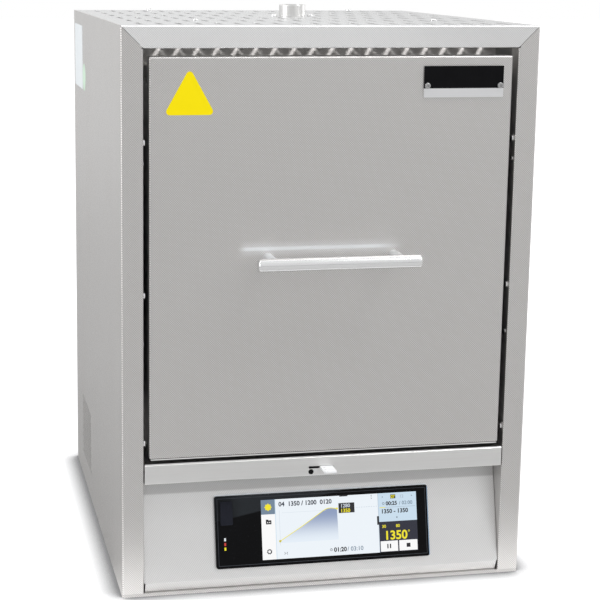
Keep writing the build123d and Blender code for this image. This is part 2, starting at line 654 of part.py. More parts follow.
with BuildPart() as usb_socket:
    with BuildSketch(SLOPE.offset(GLASS_T - 0.6)):
        with Locations((FLAP_X, FLAP_S)):
            Rectangle(SOCKET_W, SOCKET_H)
            Rectangle(SOCKET_W - 1, SOCKET_H - 1, mode=Mode.SUBTRACT)
    extrude(amount=-12)
    with BuildSketch(SLOPE.offset(GLASS_T - 12.6)):
        with Locations((FLAP_X, FLAP_S)):
            Rectangle(SOCKET_W, SOCKET_H)
    extrude(amount=1)
    with BuildSketch(SLOPE.offset(GLASS_T - 12.6)):
        with Locations((FLAP_X - 1, FLAP_S)):
            Rectangle(1.6, SOCKET_H - 2.4)
    extrude(amount=10)
keep(usb_socket.part, "usb_socket")

with BuildPart() as usb_cover:
    with BuildSketch(SLOPE.offset(GLASS_T + 0.1)):
        with Locations((FLAP_X, FLAP_S)):
            Rectangle(FLAP_W, FLAP_H)
    extrude(amount=FLAP_T)
    cover_up = usb_cover.edges().filter_by(lambda e: abs(e.length - FLAP_T) < 0.01)
    fillet(cover_up.filter_by(lambda e: e.center().X > FLAP_X), 1.2)
keep(usb_cover.part, "usb_cover")

# ---------------------------------------------------------------- electrics

with BuildPart() as transformer_core:
    core_z = BASE_T + CORE_H / 2
    block(CORE_X - CORE_W / 2, CORE_X + CORE_W / 2, CORE_Y - CORE_D / 2, CORE_Y + CORE_D / 2,
          BASE_T, BASE_T + CORE_H)
    for hand in (-1, 1):
        x = CORE_X + hand * 1.5 * LIMB
        block(x - LIMB / 2, x + LIMB / 2, CORE_Y - 30, CORE_Y + 30, core_z - 24, core_z + 24, Mode.SUBTRACT)
keep(transformer_core.part, "transformer_core")

with BuildPart() as transformer_coil:
    block(CORE_X - 31, CORE_X + 31, CORE_Y - 34, CORE_Y + 34, core_z - 23.5, core_z + 23.5)
    fillet(transformer_coil.edges().filter_by(Axis.Z), 4)
    block(CORE_X - LIMB - 0.2, CORE_X + LIMB + 0.2, CORE_Y - CORE_D / 2 - 0.2, CORE_Y + CORE_D / 2 + 0.2,
          core_z - 30, core_z + 30, Mode.SUBTRACT)
keep(transformer_coil.part, "transformer_coil")

with BuildPart() as heat_sink:
    block(-120, -40, -60, 0, BASE_T + 30, BASE_T + 35)
    for i in range(9):
        x = -118.5 + 9.625 * i
        block(x - 1.5, x + 1.5, -60, 0, BASE_T, BASE_T + 30)
keep(heat_sink.part, "heat_sink")

with BuildPart() as solid_state_relay:
    block(-109, -51, -52, -8, BASE_T + 35, BASE_T + 61)
    fillet(solid_state_relay.edges().filter_by(Axis.Z), 2)
    for x in (-102, -58):
        for y in (-43, -17):
            rod((x, y, BASE_T + 62), 3.5, 2)
keep(solid_state_relay.part, "solid_state_relay")

with BuildPart() as terminal_block:
    block(60, 128, -105, -80, BASE_T, BASE_T + 16)
    for i in range(6):
        x = 66 + 11.2 * i
        block(x - 4.6, x + 4.6, -100, -85, BASE_T + 16, BASE_T + 24)
        rod((x, -92.5, BASE_T + 24), 2.2, 6, mode=Mode.SUBTRACT)
keep(terminal_block.part, "terminal_block")

FAN_REAR = REAR - SHEET
with BuildPart() as fan_frame:
    with BuildSketch(Plane.XZ.offset(-FAN_REAR)):
        with Locations((FAN_X, FAN_Z)):
            RectangleRounded(FAN_SIZE, FAN_SIZE, 4)
            Circle(FAN_BORE, mode=Mode.SUBTRACT)
    extrude(amount=FAN_T)
    for turn in (45, 135):
        with Locations(Location((FAN_X, FAN_REAR - FAN_T + 1.5, FAN_Z), (0, turn, 0))):
            Box(2 * FAN_BORE + 2, 3, 5)
    rod((FAN_X, FAN_REAR - FAN_T + 1.5, FAN_Z), HUB_R, 3, ALONG_Y)
    rod((FAN_X, FAN_REAR - FAN_T + 8, FAN_Z), FAN_PIN_R, 14, ALONG_Y)
keep(fan_frame.part, "fan_frame")

with BuildPart() as fan_rotor:
    rotor_y = FAN_REAR - FAN_T / 2 + 1
    rod((FAN_X, rotor_y, FAN_Z), HUB_R, 17, ALONG_Y)
    for i in range(7):
        with Locations(Location((FAN_X, rotor_y, FAN_Z), (0, i * 360 / 7, 0))):
            with Locations(Location(((HUB_R + ROTOR_R) / 2 - 1, 0, 0), (35, 0, 0))):
                Box(ROTOR_R - HUB_R + 2, 1.6, 19)
    rod((FAN_X, rotor_y - 2, FAN_Z), FAN_PIN_R + BEARING_GAP, 17, ALONG_Y, Mode.SUBTRACT)
keep(fan_rotor.part, "fan_rotor")

with BuildPart() as power_inlet:
    block(INLET_X - INLET_W / 2, INLET_X + INLET_W / 2, REAR - 26, REAR,
          INLET_Z - INLET_H / 2, INLET_Z + INLET_H / 2)
    block(INLET_X - INLET_W / 2 - 5, INLET_X + INLET_W / 2 + 5, REAR, REAR + 2.5,
          INLET_Z - INLET_H / 2 - 3, INLET_Z + INLET_H / 2 + 3)
    block(INLET_X - 12, INLET_X + 12, REAR - 16, REAR + 3, INLET_Z - 9, INLET_Z + 9, Mode.SUBTRACT)
keep(power_inlet.part, "power_inlet")

with BuildPart() as inlet_pins:
    for x, z in ((-7, -2), (7, -2), (0, 4)):
        block(INLET_X + x - 1, INLET_X + x + 1, REAR - 16, REAR - 3, INLET_Z + z - 3, INLET_Z + z + 3)
keep(inlet_pins.part, "inlet_pins")

with BuildPart() as switch_bezel:
    block(SWITCH_X - SWITCH_W / 2, SWITCH_X + SWITCH_W / 2, REAR - 22, REAR,
          SWITCH_Z - SWITCH_H / 2, SWITCH_Z + SWITCH_H / 2)
    block(SWITCH_X - SWITCH_W / 2 - 2, SWITCH_X + SWITCH_W / 2 + 2, REAR, REAR + 2,
          SWITCH_Z - SWITCH_H / 2 - 2, SWITCH_Z + SWITCH_H / 2 + 2)
    block(SWITCH_X - 8.5, SWITCH_X + 8.5, REAR - 14, REAR + 3, SWITCH_Z - 12.5, SWITCH_Z + 12.5, Mode.SUBTRACT)
keep(switch_bezel.part, "switch_bezel")

with BuildPart() as switch_rocker:
    with BuildSketch(Plane.YZ.offset(SWITCH_X - 8)):
        with BuildLine():
            Polyline(
                (REAR - 9, SWITCH_Z - 9),
                (REAR + 0.6, SWITCH_Z - 9.8),
                (REAR + 1.2, SWITCH_Z),
                (REAR + 3.4, SWITCH_Z + 9.8),
                (REAR - 9, SWITCH_Z + 9),
                close=True,
            )
        make_face()
    extrude(amount=16)
keep(switch_rocker.part, "switch_rocker")

# ---------------------------------------------------------------- lift linkage

for hand, link_name in ((-1, "linkage_plate_left"), (1, "linkage_plate_right")):
    with BuildPart() as linkage_plate:
        with BuildSketch(Plane.XY.offset(LOWER_Z - 20)):
            with BuildLine():
                Polyline(
                    (hand * LINK_X, -190),
                    (hand * (LINK_X + LINK_T), -190),
                    (hand * (LINK_X + LINK_T), -108),
                    (hand * (CASING_X + LINK_T), -108),
                    (hand * (CASING_X + LINK_T), -88),
                    (hand * CASING_X, -88),
                    (hand * CASING_X, -110),
                    (hand * LINK_X, -110),
                    close=True,
                )
            make_face()
        extrude(amount=PIVOT_Z - LOWER_Z + 42)
        rod((hand * LINK_X, PIVOT_Y, PIVOT_Z), SHAFT_R + BEARING_GAP, 20, ALONG_X, Mode.SUBTRACT)
        rod((hand * (LINK_X - 5.5), PIVOT_Y, LOWER_Z), PIN_R, 11.2, ALONG_X)
        rod((hand * (LINK_X - 10), PIVOT_Y, LOWER_Z), PIN_R + 2, 2, ALONG_X)
    keep(linkage_plate.part, link_name)

with BuildPart() as cross_shaft:
    rod((0, PIVOT_Y, PIVOT_Z), SHAFT_R, 2 * (LINK_X + LINK_T + 2), ALONG_X)
    chamfer(cross_shaft.edges().filter_by(GeomType.CIRCLE), 0.6)
keep(cross_shaft.part, "cross_shaft")

ARM_PLANE = Plane(origin=(0, PIVOT_Y, PIVOT_Z), x_dir=(0, -ARM_BACK, -ARM_DROP), z_dir=(1, 0, 0))
with BuildPart() as upper_arms:
    for hand in (-1, 1):
        with BuildSketch(ARM_PLANE.offset(hand * ARM_X - ARM_T / 2)):
            with Locations((ARM / 2, 0)):
                SlotCenterToCenter(ARM, ARM_W)
            Circle(SHAFT_R, mode=Mode.SUBTRACT)
            with Locations((ARM, 0)):
                Circle(PIN_R + BEARING_GAP, mode=Mode.SUBTRACT)
        extrude(amount=ARM_T)
keep(upper_arms.part, "upper_arms")

LOWER_PLANE = Plane(origin=(0, PIVOT_Y, LOWER_Z), x_dir=(0, -ARM_BACK, -ARM_DROP), z_dir=(1, 0, 0))
with BuildPart() as lower_arms:
    for hand in (-1, 1):
        with BuildSketch(LOWER_PLANE.offset(hand * ARM_X - ARM_T / 2)):
            with Locations((ARM / 2, 0)):
                SlotCenterToCenter(ARM, ARM_W)
            Circle(PIN_R + BEARING_GAP, mode=Mode.SUBTRACT)
            with Locations((ARM, 0)):
                Circle(PIN_R + OPEN_GAP, mode=Mode.SUBTRACT)
        extrude(amount=ARM_T)
keep(lower_arms.part, "lower_arms")

# ---------------------------------------------------------------- door

with BuildPart() as door_pan:
    block(-DOOR_X, DOOR_X, FRONT, PLATE_REAR, DOOR_BOTTOM, DOOR_TOP)
    fillet(door_pan.edges().filter_by(Axis.Y), 1.5)
    fillet(door_pan.faces().sort_by(Axis.Y)[0].edges(), EDGE_R)
    block(-DOOR_X + SHEET, DOOR_X - SHEET, FRONT + SHEET, PLATE_REAR + 1, DOOR_BOTTOM + SHEET, DOOR_TOP - SHEET,
          Mode.SUBTRACT)
    for x in (-HANDLE_POST_X, HANDLE_POST_X):
        rod((x, FRONT, HANDLE_Z), SHANK_R, 8, ALONG_Y, Mode.SUBTRACT)
    for x in PLATE_SCREW_X:
        rod((x, FRONT, PLATE_SCREW_Z), 1.2, 8, ALONG_Y, Mode.SUBTRACT)
keep(door_pan.part, "door_pan")

with BuildPart() as door_back_plate:
    block(-DOOR_X + SHEET + FIT, DOOR_X - SHEET - FIT, PLATE_REAR - SHEET, PLATE_REAR,
          DOOR_BOTTOM + SHEET + FIT, DOOR_TOP - SHEET - FIT)
keep(door_back_plate.part, "door_back_plate")

with BuildPart() as door_brackets:
    for hand in (-1, 1):
        x0, x1 = sorted((hand * BRACKET_X, hand * (BRACKET_X + 2)))
        block(x0, x1, PLATE_REAR, DOOR_PIVOT_Y + 9, DOOR_LOWER_Z - 14, DOOR_PIVOT_Z + 14)
        x0, x1 = sorted((hand * (BRACKET_X - 20), hand * (BRACKET_X + 2)))
        block(x0, x1, PLATE_REAR, PLATE_REAR + 2, DOOR_LOWER_Z - 14, DOOR_PIVOT_Z + 14)
        for z in (DOOR_LOWER_Z, DOOR_PIVOT_Z):
            rod((hand * (BRACKET_X + 6.8), DOOR_PIVOT_Y, z), PIN_R, 10, ALONG_X)
            rod((hand * (BRACKET_X + 3.5), DOOR_PIVOT_Y, z), PIN_R + 2, 3.4, ALONG_X)
            rod((hand * (BRACKET_X + 11.8), DOOR_PIVOT_Y, z), PIN_R + 1.5, 1.6, ALONG_X)
keep(door_brackets.part, "door_brackets")

with BuildPart() as door_insulation:
    block(-SLAB_X, SLAB_X, PLATE_REAR, SLAB_REAR, SLAB_Z0, SLAB_Z1)
    chamfer(door_insulation.faces().sort_by(Axis.Y)[-1].edges(), 3)
keep(door_insulation.part, "door_insulation")

with BuildPart() as door_plug:
    plug_z = CHAMBER_Z + CHAMBER_H / 2
    with BuildSketch(Plane.XZ.offset(-SLAB_REAR)):
        with Locations((0, plug_z)):
            Rectangle(CHAMBER_W + 10, CHAMBER_H + 10)
    with BuildSketch(Plane.XZ.offset(-PLUG_TIP)):
        with Locations((0, plug_z)):
            Rectangle(CHAMBER_W - 12, CHAMBER_H - 14)
    loft()
keep(door_plug.part, "door_plug")

with BuildPart() as handle_bar:
    rod((0, HANDLE_Y, HANDLE_Z), HANDLE_R, HANDLE_L, ALONG_X)
    fillet(handle_bar.edges().filter_by(GeomType.CIRCLE), 1.5)
keep(handle_bar.part, "handle_bar")

with BuildPart() as handle_posts:
    for x in (-HANDLE_POST_X, HANDLE_POST_X):
        rod((x, (HANDLE_Y + FRONT) / 2, HANDLE_Z), HANDLE_POST_R, FRONT - HANDLE_Y, ALONG_Y)
        rod((x, FRONT + 0.7, HANDLE_Z), SHANK_R, 3.8, ALONG_Y)
    rod((0, HANDLE_Y, HANDLE_Z), HANDLE_R, HANDLE_L, ALONG_X, Mode.SUBTRACT)
keep(handle_posts.part, "handle_posts")

with BuildPart() as name_plate:
    with BuildSketch(Plane.XZ.offset(-FRONT)):
        with Locations(((PLATE_X0 + PLATE_X1) / 2, (PLATE_Z0 + PLATE_Z1) / 2)):
            RectangleRounded(PLATE_X1 - PLATE_X0, PLATE_Z1 - PLATE_Z0, 0.8)
        with Locations(*[(x, PLATE_SCREW_Z) for x in PLATE_SCREW_X]):
            Circle(1.2, mode=Mode.SUBTRACT)
    extrude(amount=PLATE_T)
keep(name_plate.part, "name_plate")

with BuildPart() as name_plate_screws:
    for x in PLATE_SCREW_X:
        rod((x, FRONT - PLATE_T - 0.8, PLATE_SCREW_Z), 2.7, 1.6, ALONG_Y)
        rod((x, FRONT - PLATE_T + 1.9, PLATE_SCREW_Z), 1.2, 3.8, ALONG_Y)
    fillet(name_plate_screws.faces().group_by(Axis.Y)[0].edges(), 0.6)
    for x in PLATE_SCREW_X:
        with BuildSketch(Plane.XZ.offset(-(FRONT - PLATE_T - 1.6))):
            with Locations((x, PLATE_SCREW_Z)):
                RegularPolygon(1.3, 6)
        extrude(amount=-1, mode=Mode.SUBTRACT)
keep(name_plate_screws.part, "name_plate_screws")

# ---------------------------------------------------------------- screws of the housing

with BuildPart() as housing_screws:
    for x, y in (*ROOF_SCREWS, (STUB_X - STUB_SCREW_X, STUB_Y), (STUB_X + STUB_SCREW_X, STUB_Y)):
        rod((x, y, HEIGHT + SCREW_H / 2), SCREW_R, SCREW_H)
        rod((x, y, HEIGHT - 1.7), SHANK_R, 3.4)
    fillet(housing_screws.faces().sort_by(Axis.Z).group_by(Axis.Z)[-1].edges(), 1.4)
    for x, z in REAR_SCREWS:
        rod((x, REAR + SCREW_H / 2, z), SCREW_R, SCREW_H, ALONG_Y)
        rod((x, REAR - 1.7, z), SHANK_R, 3.4, ALONG_Y)
    fillet(housing_screws.faces().group_by(Axis.Y)[-1].edges(), 1.4)
    for hand in (-1, 1):
        for z in POST_SCREW_Z:
            rod((hand * (POST_X - 0.9), POST_SCREW_Y, z), SCREW_R, 1.8, ALONG_X)
            rod((hand * (POST_X + 1.7), POST_SCREW_Y, z), SHANK_R, 3.4, ALONG_X)
        for z in POST_STUD_Z:
            rod((hand * (POST_X + 1.0), POST_SCREW_Y, z), SHANK_R, 3.6, ALONG_X)
keep(housing_screws.part, "housing_screws")

for name, part in done:
    export_step(part, f"parts/{name}.step")
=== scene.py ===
"""Looks of a compact muffle furnace: materials, printed details, light and camera for its solids."""

import json
import math

import bpy
from mathutils import Matrix, Quaternion, Vector


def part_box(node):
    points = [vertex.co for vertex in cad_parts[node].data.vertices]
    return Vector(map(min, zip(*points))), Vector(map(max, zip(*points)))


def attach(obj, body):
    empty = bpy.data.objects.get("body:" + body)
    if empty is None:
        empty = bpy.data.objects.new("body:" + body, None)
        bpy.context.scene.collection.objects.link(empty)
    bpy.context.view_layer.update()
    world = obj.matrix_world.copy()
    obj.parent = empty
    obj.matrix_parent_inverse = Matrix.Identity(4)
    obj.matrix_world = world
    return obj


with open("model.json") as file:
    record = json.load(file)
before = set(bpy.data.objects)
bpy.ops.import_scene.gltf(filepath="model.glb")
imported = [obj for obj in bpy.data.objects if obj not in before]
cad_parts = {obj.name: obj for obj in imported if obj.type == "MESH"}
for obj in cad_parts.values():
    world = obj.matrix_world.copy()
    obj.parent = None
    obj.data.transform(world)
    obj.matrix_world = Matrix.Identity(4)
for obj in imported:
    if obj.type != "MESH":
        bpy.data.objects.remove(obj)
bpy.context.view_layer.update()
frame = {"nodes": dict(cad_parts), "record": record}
NODES = frame["nodes"]
SLOT_OF = {part["node"]: part["material_slot"] for part in frame["record"]["subparts"]}
MM = 0.001

# ---------------------------------------------------------------- node helpers


class Tree:
    """A material's node tree, with short calls for the nodes used here."""

    def __init__(self, name):
        self.material = bpy.data.materials.new(name)
        self.material.use_nodes = True
        self.tree = self.material.node_tree
        self.tree.nodes.clear()
        self.output = self.tree.nodes.new("ShaderNodeOutputMaterial")
        self.place = self.add("ShaderNodeTexCoord").outputs["Object"]

    def add(self, kind, sockets=(), **settings):
        node = self.tree.nodes.new(kind)
        for key, value in settings.items():
            setattr(node, key, value)
        for key, value in dict(sockets).items():
            self.feed(node.inputs[key], value)
        return node

    def feed(self, socket, value):
        if isinstance(value, bpy.types.NodeSocket):
            self.tree.links.new(value, socket)
        else:
            socket.default_value = value

    def math(self, operation, a, b=0.0, clamp=False):
        return self.add("ShaderNodeMath", {0: a, 1: b}, operation=operation, use_clamp=clamp).outputs[0]

    def noise(self, scale, detail=3.0, roughness=0.55, place=None):
        node = self.add("ShaderNodeTexNoise", {
            "Vector": place or self.place, "Scale": scale, "Detail": detail,
            "Roughness": roughness})
        return node.outputs["Fac"]

    def stretch(self, scale):
        return self.add("ShaderNodeMapping", {"Vector": self.place, "Scale": scale}).outputs[0]

    def split(self, vector):
        return self.add("ShaderNodeSeparateXYZ", {0: vector}).outputs

    def span(self, value, low, high, to_low=0.0, to_high=1.0, smooth=False):
        node = self.add("ShaderNodeMapRange", {
            "Value": value, "From Min": low, "From Max": high, "To Min": to_low, "To Max": to_high})
        node.interpolation_type = "SMOOTHSTEP" if smooth else "LINEAR"
        return node.outputs[0]

    def mix(self, factor, a, b, blend="MIX"):
        node = self.add("ShaderNodeMix", data_type="RGBA", blend_type=blend)
        self.feed(node.inputs["Factor"], factor)
        for socket, value in ((node.inputs[6], a), (node.inputs[7], b)):
            self.feed(socket, value if isinstance(value, bpy.types.NodeSocket) else (*value, 1))
        return node.outputs[2]

    def even(self, value):
        """A grey colour from a value."""
        return self.add("ShaderNodeCombineColor", {0: value, 1: value, 2: value}).outputs[0]

    def bump(self, height, strength, distance, normal=None):
        node = self.add("ShaderNodeBump", {"Height": height, "Strength": strength, "Distance": distance})
        if normal is not None:
            self.feed(node.inputs["Normal"], normal)
        return node.outputs[0]

    def surface(self, **sockets):
        """A Principled shader with these sockets, given with spaces as underscores."""
        node = self.add("ShaderNodeBsdfPrincipled")
        for key, value in sockets.items():
            name = key.replace("_", " ")
            self.feed(node.inputs[name], value)
        self.tree.links.new(node.outputs[0], self.output.inputs[0])
        return self.material


def rgb(red, green, blue):
    """A linear colour from sRGB levels."""
    return tuple((v / 255) ** 2.2 for v in (red, green, blue))


# ---------------------------------------------------------------- materials


def wear(tree):
    """Cloudy handling marks with a few fine scratches, from 0 to 1."""
    clouds = tree.span(tree.noise(9.0, 5.0, 0.6), 0.35, 0.75)
    fine = tree.span(tree.noise(140.0, 2.0, 0.5), 0.3, 0.8)
    return tree.math("MULTIPLY", clouds, tree.math("ADD", 0.6, tree.math("MULTIPLY", fine, 0.4)))


WEAVE_PITCH = 2.1 * MM


def textured_steel(name="housing_steel", tone=1.0, warm=1.0, metallic=1.0, spread=0.13, top=1.0,
                   relief=0.45, shade=None, painted_handle_reflection=None, foot=0.0):
    """Stainless sheet rolled with a fine diamond linen pattern.

    top is the tone of its level faces, a painted shade; shade darkens it between two places along an axis
    as painted shade; streak is a painted reflection of the polished handle; foot lightens the lowest part
    of its front faces as a painted highlight.
    """
    t = Tree(name)
    x, y, z = t.split(t.place)
    facing = t.split(t.add("ShaderNodeNewGeometry").outputs["True Normal"])
    flat = t.math("GREATER_THAN", t.math("ABSOLUTE", facing[2]), 0.8)
    across = t.math("ADD", x, t.math("MULTIPLY", y, t.math("SUBTRACT", 1.0, flat)))
    along = t.math("ADD", t.math("MULTIPLY", z, t.math("SUBTRACT", 1.0, flat)), t.math("MULTIPLY", y, flat))
    turn = 2 * math.pi / WEAVE_PITCH
    one = t.math("SINE", t.math("MULTIPLY", across, turn))
    two = t.math("SINE", t.math("MULTIPLY", along, turn))
    weave = t.span(t.math("MULTIPLY", one, two), -0.7, 0.7)
    uneven = t.noise(420.0, 2.0)
    rubbed = wear(t)
    low, high = (tuple(tone * (level - warm * drop) for drop in (0.0, 0.014, 0.026))
                 for level in (0.60 - spread, 0.60 + spread))
    base = t.mix(weave, low, high)
    base = t.mix(t.math("MULTIPLY", rubbed, 0.2), base, tuple(tone * c for c in (0.66, 0.655, 0.65)))
    # Painted shade: level faces take a darker tone, their colour times top.
    if top < 1.0:
        base = t.mix(flat, base, t.mix(1.0, base, (top, top, top), "MULTIPLY"))
    if shade:
        axis, start, end, level = shade
        dim = t.span((x, y, z)[axis], start, end, 1.0, level, True)
        base = t.mix(1.0, base, t.even(dim), "MULTIPLY")
    # Painted highlight: front faces grow lighter towards their foot.
    if foot:
        ahead = t.math("LESS_THAN", facing[1], -0.5)
        light = t.math("ADD", 1.0, t.math("MULTIPLY", ahead, t.span(z, 0.0, 0.085, foot, 0.0, True)))
        base = t.mix(1.0, base, t.even(light), "MULTIPLY")
    # Painted reflection of the polished handle: a pale band on the door near the bar.
    if painted_handle_reflection:
        left, right, level = painted_handle_reflection
        off = t.math("ABSOLUTE", t.math("SUBTRACT", z, level))
        core = t.math("ADD", t.span(off, 0.6 * MM, 2.6 * MM, 0.5, 0.0, True),
                      t.span(off, 1 * MM, 9 * MM, 0.32, 0.0, True))
        ends = t.math("MULTIPLY", t.span(x, left - 0.006, left + 0.004, 0.0, 1.0, True),
                      t.span(x, right - 0.03, right + 0.006, 1.0, 0.0, True))
        base = t.mix(t.math("MULTIPLY", core, ends), base, (0.96, 0.98, 1.0))
    rough = t.math("ADD", 0.40, t.math("MULTIPLY", uneven, 0.10))
    rough = t.math("SUBTRACT", rough, t.math("MULTIPLY", rubbed, 0.05))
    if top < 1.0:
        rough = t.math("SUBTRACT", rough, t.math("MULTIPLY", flat, 0.15))
    normal = t.bump(weave, relief, 0.00022)
    normal = t.bump(t.noise(30.0, 2.0), 0.03, 0.002, normal)
    return t.surface(Base_Color=base, Metallic=metallic, Roughness=rough, Normal=normal)


def plain_steel(name, low, high, rough, scale=(8, 8, 900), grain=0.12):
    """Smooth stainless with a fine grain along one way."""
    t = Tree(name)
    lines = t.noise(1.0, 3.0, 0.6, t.stretch(scale))
    rubbed = wear(t)
    base = t.mix(lines, low, high)
    base = t.mix(t.math("MULTIPLY", rubbed, 0.2), base, tuple(min(1, c * 1.1) for c in high))
    roughness = t.math("ADD", rough, t.math("MULTIPLY", t.math("SUBTRACT", lines, 0.5), grain))
    roughness = t.math("ADD", roughness, t.math("MULTIPLY", rubbed, 0.06))
    return t.surface(Base_Color=base, Metallic=1.0, Roughness=roughness, Normal=t.bump(lines, 0.08, 0.0003))


def fibre():
    """Matt white fibre board with pits, fibres and a faint toasted edge."""
    t = Tree("insulation_fibre")
    fuzz = t.noise(900.0, 4.0, 0.7)
    cells = t.add("ShaderNodeTexVoronoi", {"Vector": t.place, "Scale": 260.0}).outputs["Distance"]
    pits = t.span(cells, 0.0, 0.35)
    stain = t.span(t.noise(14.0, 4.0, 0.6), 0.45, 0.8)
    base = t.mix(fuzz, (0.80, 0.78, 0.73), (0.93, 0.92, 0.89))
    base = t.mix(t.math("MULTIPLY", stain, 0.35), base, (0.83, 0.77, 0.66))
    height = t.math("ADD", t.math("MULTIPLY", fuzz, 0.6), t.math("MULTIPLY", pits, 0.4))
    return t.surface(Base_Color=base, Roughness=t.span(fuzz, 0, 1, 0.85, 1.0), Specular_IOR_Level=0.2,
                     Normal=t.bump(height, 0.6, 0.0006))


def ceramic(name, colour, rough, speck=0.15):
    t = Tree(name)
    cloud = t.noise(60.0, 4.0, 0.6)
    dots = t.span(t.noise(700.0, 1.0), 0.62, 0.72)
    base = t.mix(t.math("MULTIPLY", cloud, 0.5), colour, tuple(c * 0.86 for c in colour))
    base = t.mix(t.math("MULTIPLY", dots, speck), base, tuple(c * 0.6 for c in colour))
    return t.surface(Base_Color=base, Roughness=t.span(cloud, 0, 1, rough - 0.1, rough + 0.1),
                     Normal=t.bump(cloud, 0.15, 0.0004))


def plastic(name, low, high, rough, grain=500.0, strength=0.25, gloss=0.5):
    t = Tree(name)
    spark = t.noise(grain, 2.0, 0.6)
    rubbed = wear(t)
    base = t.mix(spark, low, high)
    base = t.mix(t.math("MULTIPLY", rubbed, 0.2), base, tuple(min(1, c * 1.6 + 0.01 * gloss) for c in high))
    roughness = t.math("SUBTRACT", t.span(spark, 0, 1, rough - 0.05, rough + 0.08),
                       t.math("MULTIPLY", rubbed, 0.06))
    return t.surface(Base_Color=base, Roughness=roughness, Specular_IOR_Level=gloss,
                     Normal=t.bump(spark, strength, 0.0002))


def laminations():
    """Varnished core plates stacked through the depth."""
    t = Tree("core_iron")
    y = t.split(t.place)[1]
    leaf = t.math("SINE", t.math("MULTIPLY", y, 2 * math.pi / 0.0007))
    stain = t.noise(50.0, 4.0)
    base = t.mix(t.span(leaf, -1, 1), (0.05, 0.045, 0.04), (0.13, 0.115, 0.10))
    base = t.mix(t.math("MULTIPLY", stain, 0.4), base, (0.16, 0.09, 0.05))
    return t.surface(Base_Color=base, Metallic=0.5, Roughness=t.span(stain, 0, 1, 0.35, 0.6),
                     Normal=t.bump(leaf, 0.4, 0.0002))


def coil_tape():
    """Amber winding tape in laps round the coil."""
    t = Tree("coil_tape")
    z = t.split(t.place)[2]
    lap = t.math("SINE", t.math("MULTIPLY", z, 2 * math.pi / 0.006))
    cloud = t.noise(80.0, 3.0)
    base = t.mix(t.span(lap, 0.7, 1.0), (0.62, 0.42, 0.07), (0.35, 0.22, 0.04))
    base = t.mix(t.math("MULTIPLY", cloud, 0.3), base, (0.75, 0.60, 0.20))
    return t.surface(Base_Color=base, Roughness=t.span(cloud, 0, 1, 0.25, 0.45), Coat_Weight=0.3,
                     Normal=t.bump(lap, 0.3, 0.0003))


# Place and slope of the painted sheen on the black glass.
SHEEN_X = -86.7 * MM
SHEEN_Z = 66.6 * MM
SHEEN_RISE = 0.18


def black_glass():
    """Glass printed black behind, with wiped dust, a painted lamp sheen at the upper left and a painted
    pale highlight on its upper edge.
    """
    t = Tree("black_glass")
    film = t.span(t.noise(22.0, 5.0, 0.6), 0.45, 0.85)
    dust = t.span(t.noise(900.0, 1.0), 0.70, 0.78)
    base = t.mix(t.math("MULTIPLY", film, 0.5), (0.0015, 0.0015, 0.002), (0.004, 0.0045, 0.006))
    base = t.mix(t.math("MULTIPLY", dust, 0.03), base, (0.2, 0.2, 0.2))
    x, y, z = t.split(t.place)
    # Painted sheen of a lamp: a lighter patch at the glass's upper left, above a rising edge.
    rise = t.math("MULTIPLY", t.math("SUBTRACT", x, SHEEN_X), SHEEN_RISE)
    edge = t.math("SUBTRACT", z, t.math("ADD", SHEEN_Z, rise))
    sheen = t.math("MULTIPLY", t.span(edge, 0.0, 0.0012), t.span(x, -0.1035, -0.072, 0.25, 1.0, True))
    sheen = t.math("MULTIPLY", sheen, t.span(edge, 0.0, 0.03, 0.55, 1.0))
    base = t.mix(sheen, base, (0.034, 0.039, 0.045))
    # Painted highlight: the glass's upward faces are pale.
    up = t.split(t.add("ShaderNodeNewGeometry").outputs["True Normal"])[2]
    base = t.mix(t.math("GREATER_THAN", up, 0.8), base, (0.82, 0.86, 0.90))
    return t.surface(Base_Color=base, Roughness=t.span(film, 0, 1, 0.045, 0.10), Specular_IOR_Level=0.1,
                     Normal=t.bump(t.noise(6.0, 2.0), 0.02, 0.002))


PLATE_BARE_TOP = 468.6 * MM


def name_plate_paint():
    """Gloss black over the upper part of the plate and bare silver along its foot."""
    t = Tree("plate_black")
    z = t.split(t.place)[2]
    bare = t.math("LESS_THAN", z, PLATE_BARE_TOP)
    brushed = t.noise(1.0, 3.0, 0.6, t.stretch((6, 6, 2600)))
    cloud = t.noise(70.0, 3.0)
    silver = t.mix(brushed, (0.78, 0.78, 0.79), (0.93, 0.93, 0.94))
    black = t.mix(cloud, (0.003, 0.003, 0.0035), (0.007, 0.007, 0.008))
    rough = t.mix(bare, rgb(80, 80, 80), rgb(150, 150, 150))
    return t.surface(Base_Color=t.mix(bare, black, silver), Metallic=t.math("MULTIPLY", bare, 0.9),
                     Roughness=rough, Specular_IOR_Level=0.08, Normal=t.bump(cloud, 0.04, 0.0005))


def sheet_print(name, colour, rough=0.4, grime=0.1):
    """A printed or cut film: nearly even, with a faint mottle and rubbed grime."""
    t = Tree(name)
    mottle = t.noise(260.0, 3.0, 0.6)
    dirt = t.span(t.noise(40.0, 4.0, 0.6), 0.5, 0.85)
    base = t.mix(t.math("MULTIPLY", mottle, 0.3), colour, tuple(c * 0.92 for c in colour))
    base = t.mix(t.math("MULTIPLY", dirt, grime), base, tuple(c * 0.6 for c in colour))
    return t.surface(Base_Color=base, Roughness=t.span(mottle, 0, 1, rough - 0.08, rough + 0.08),
                     Specular_IOR_Level=0.15, Normal=t.bump(mottle, 0.05, 0.0002))


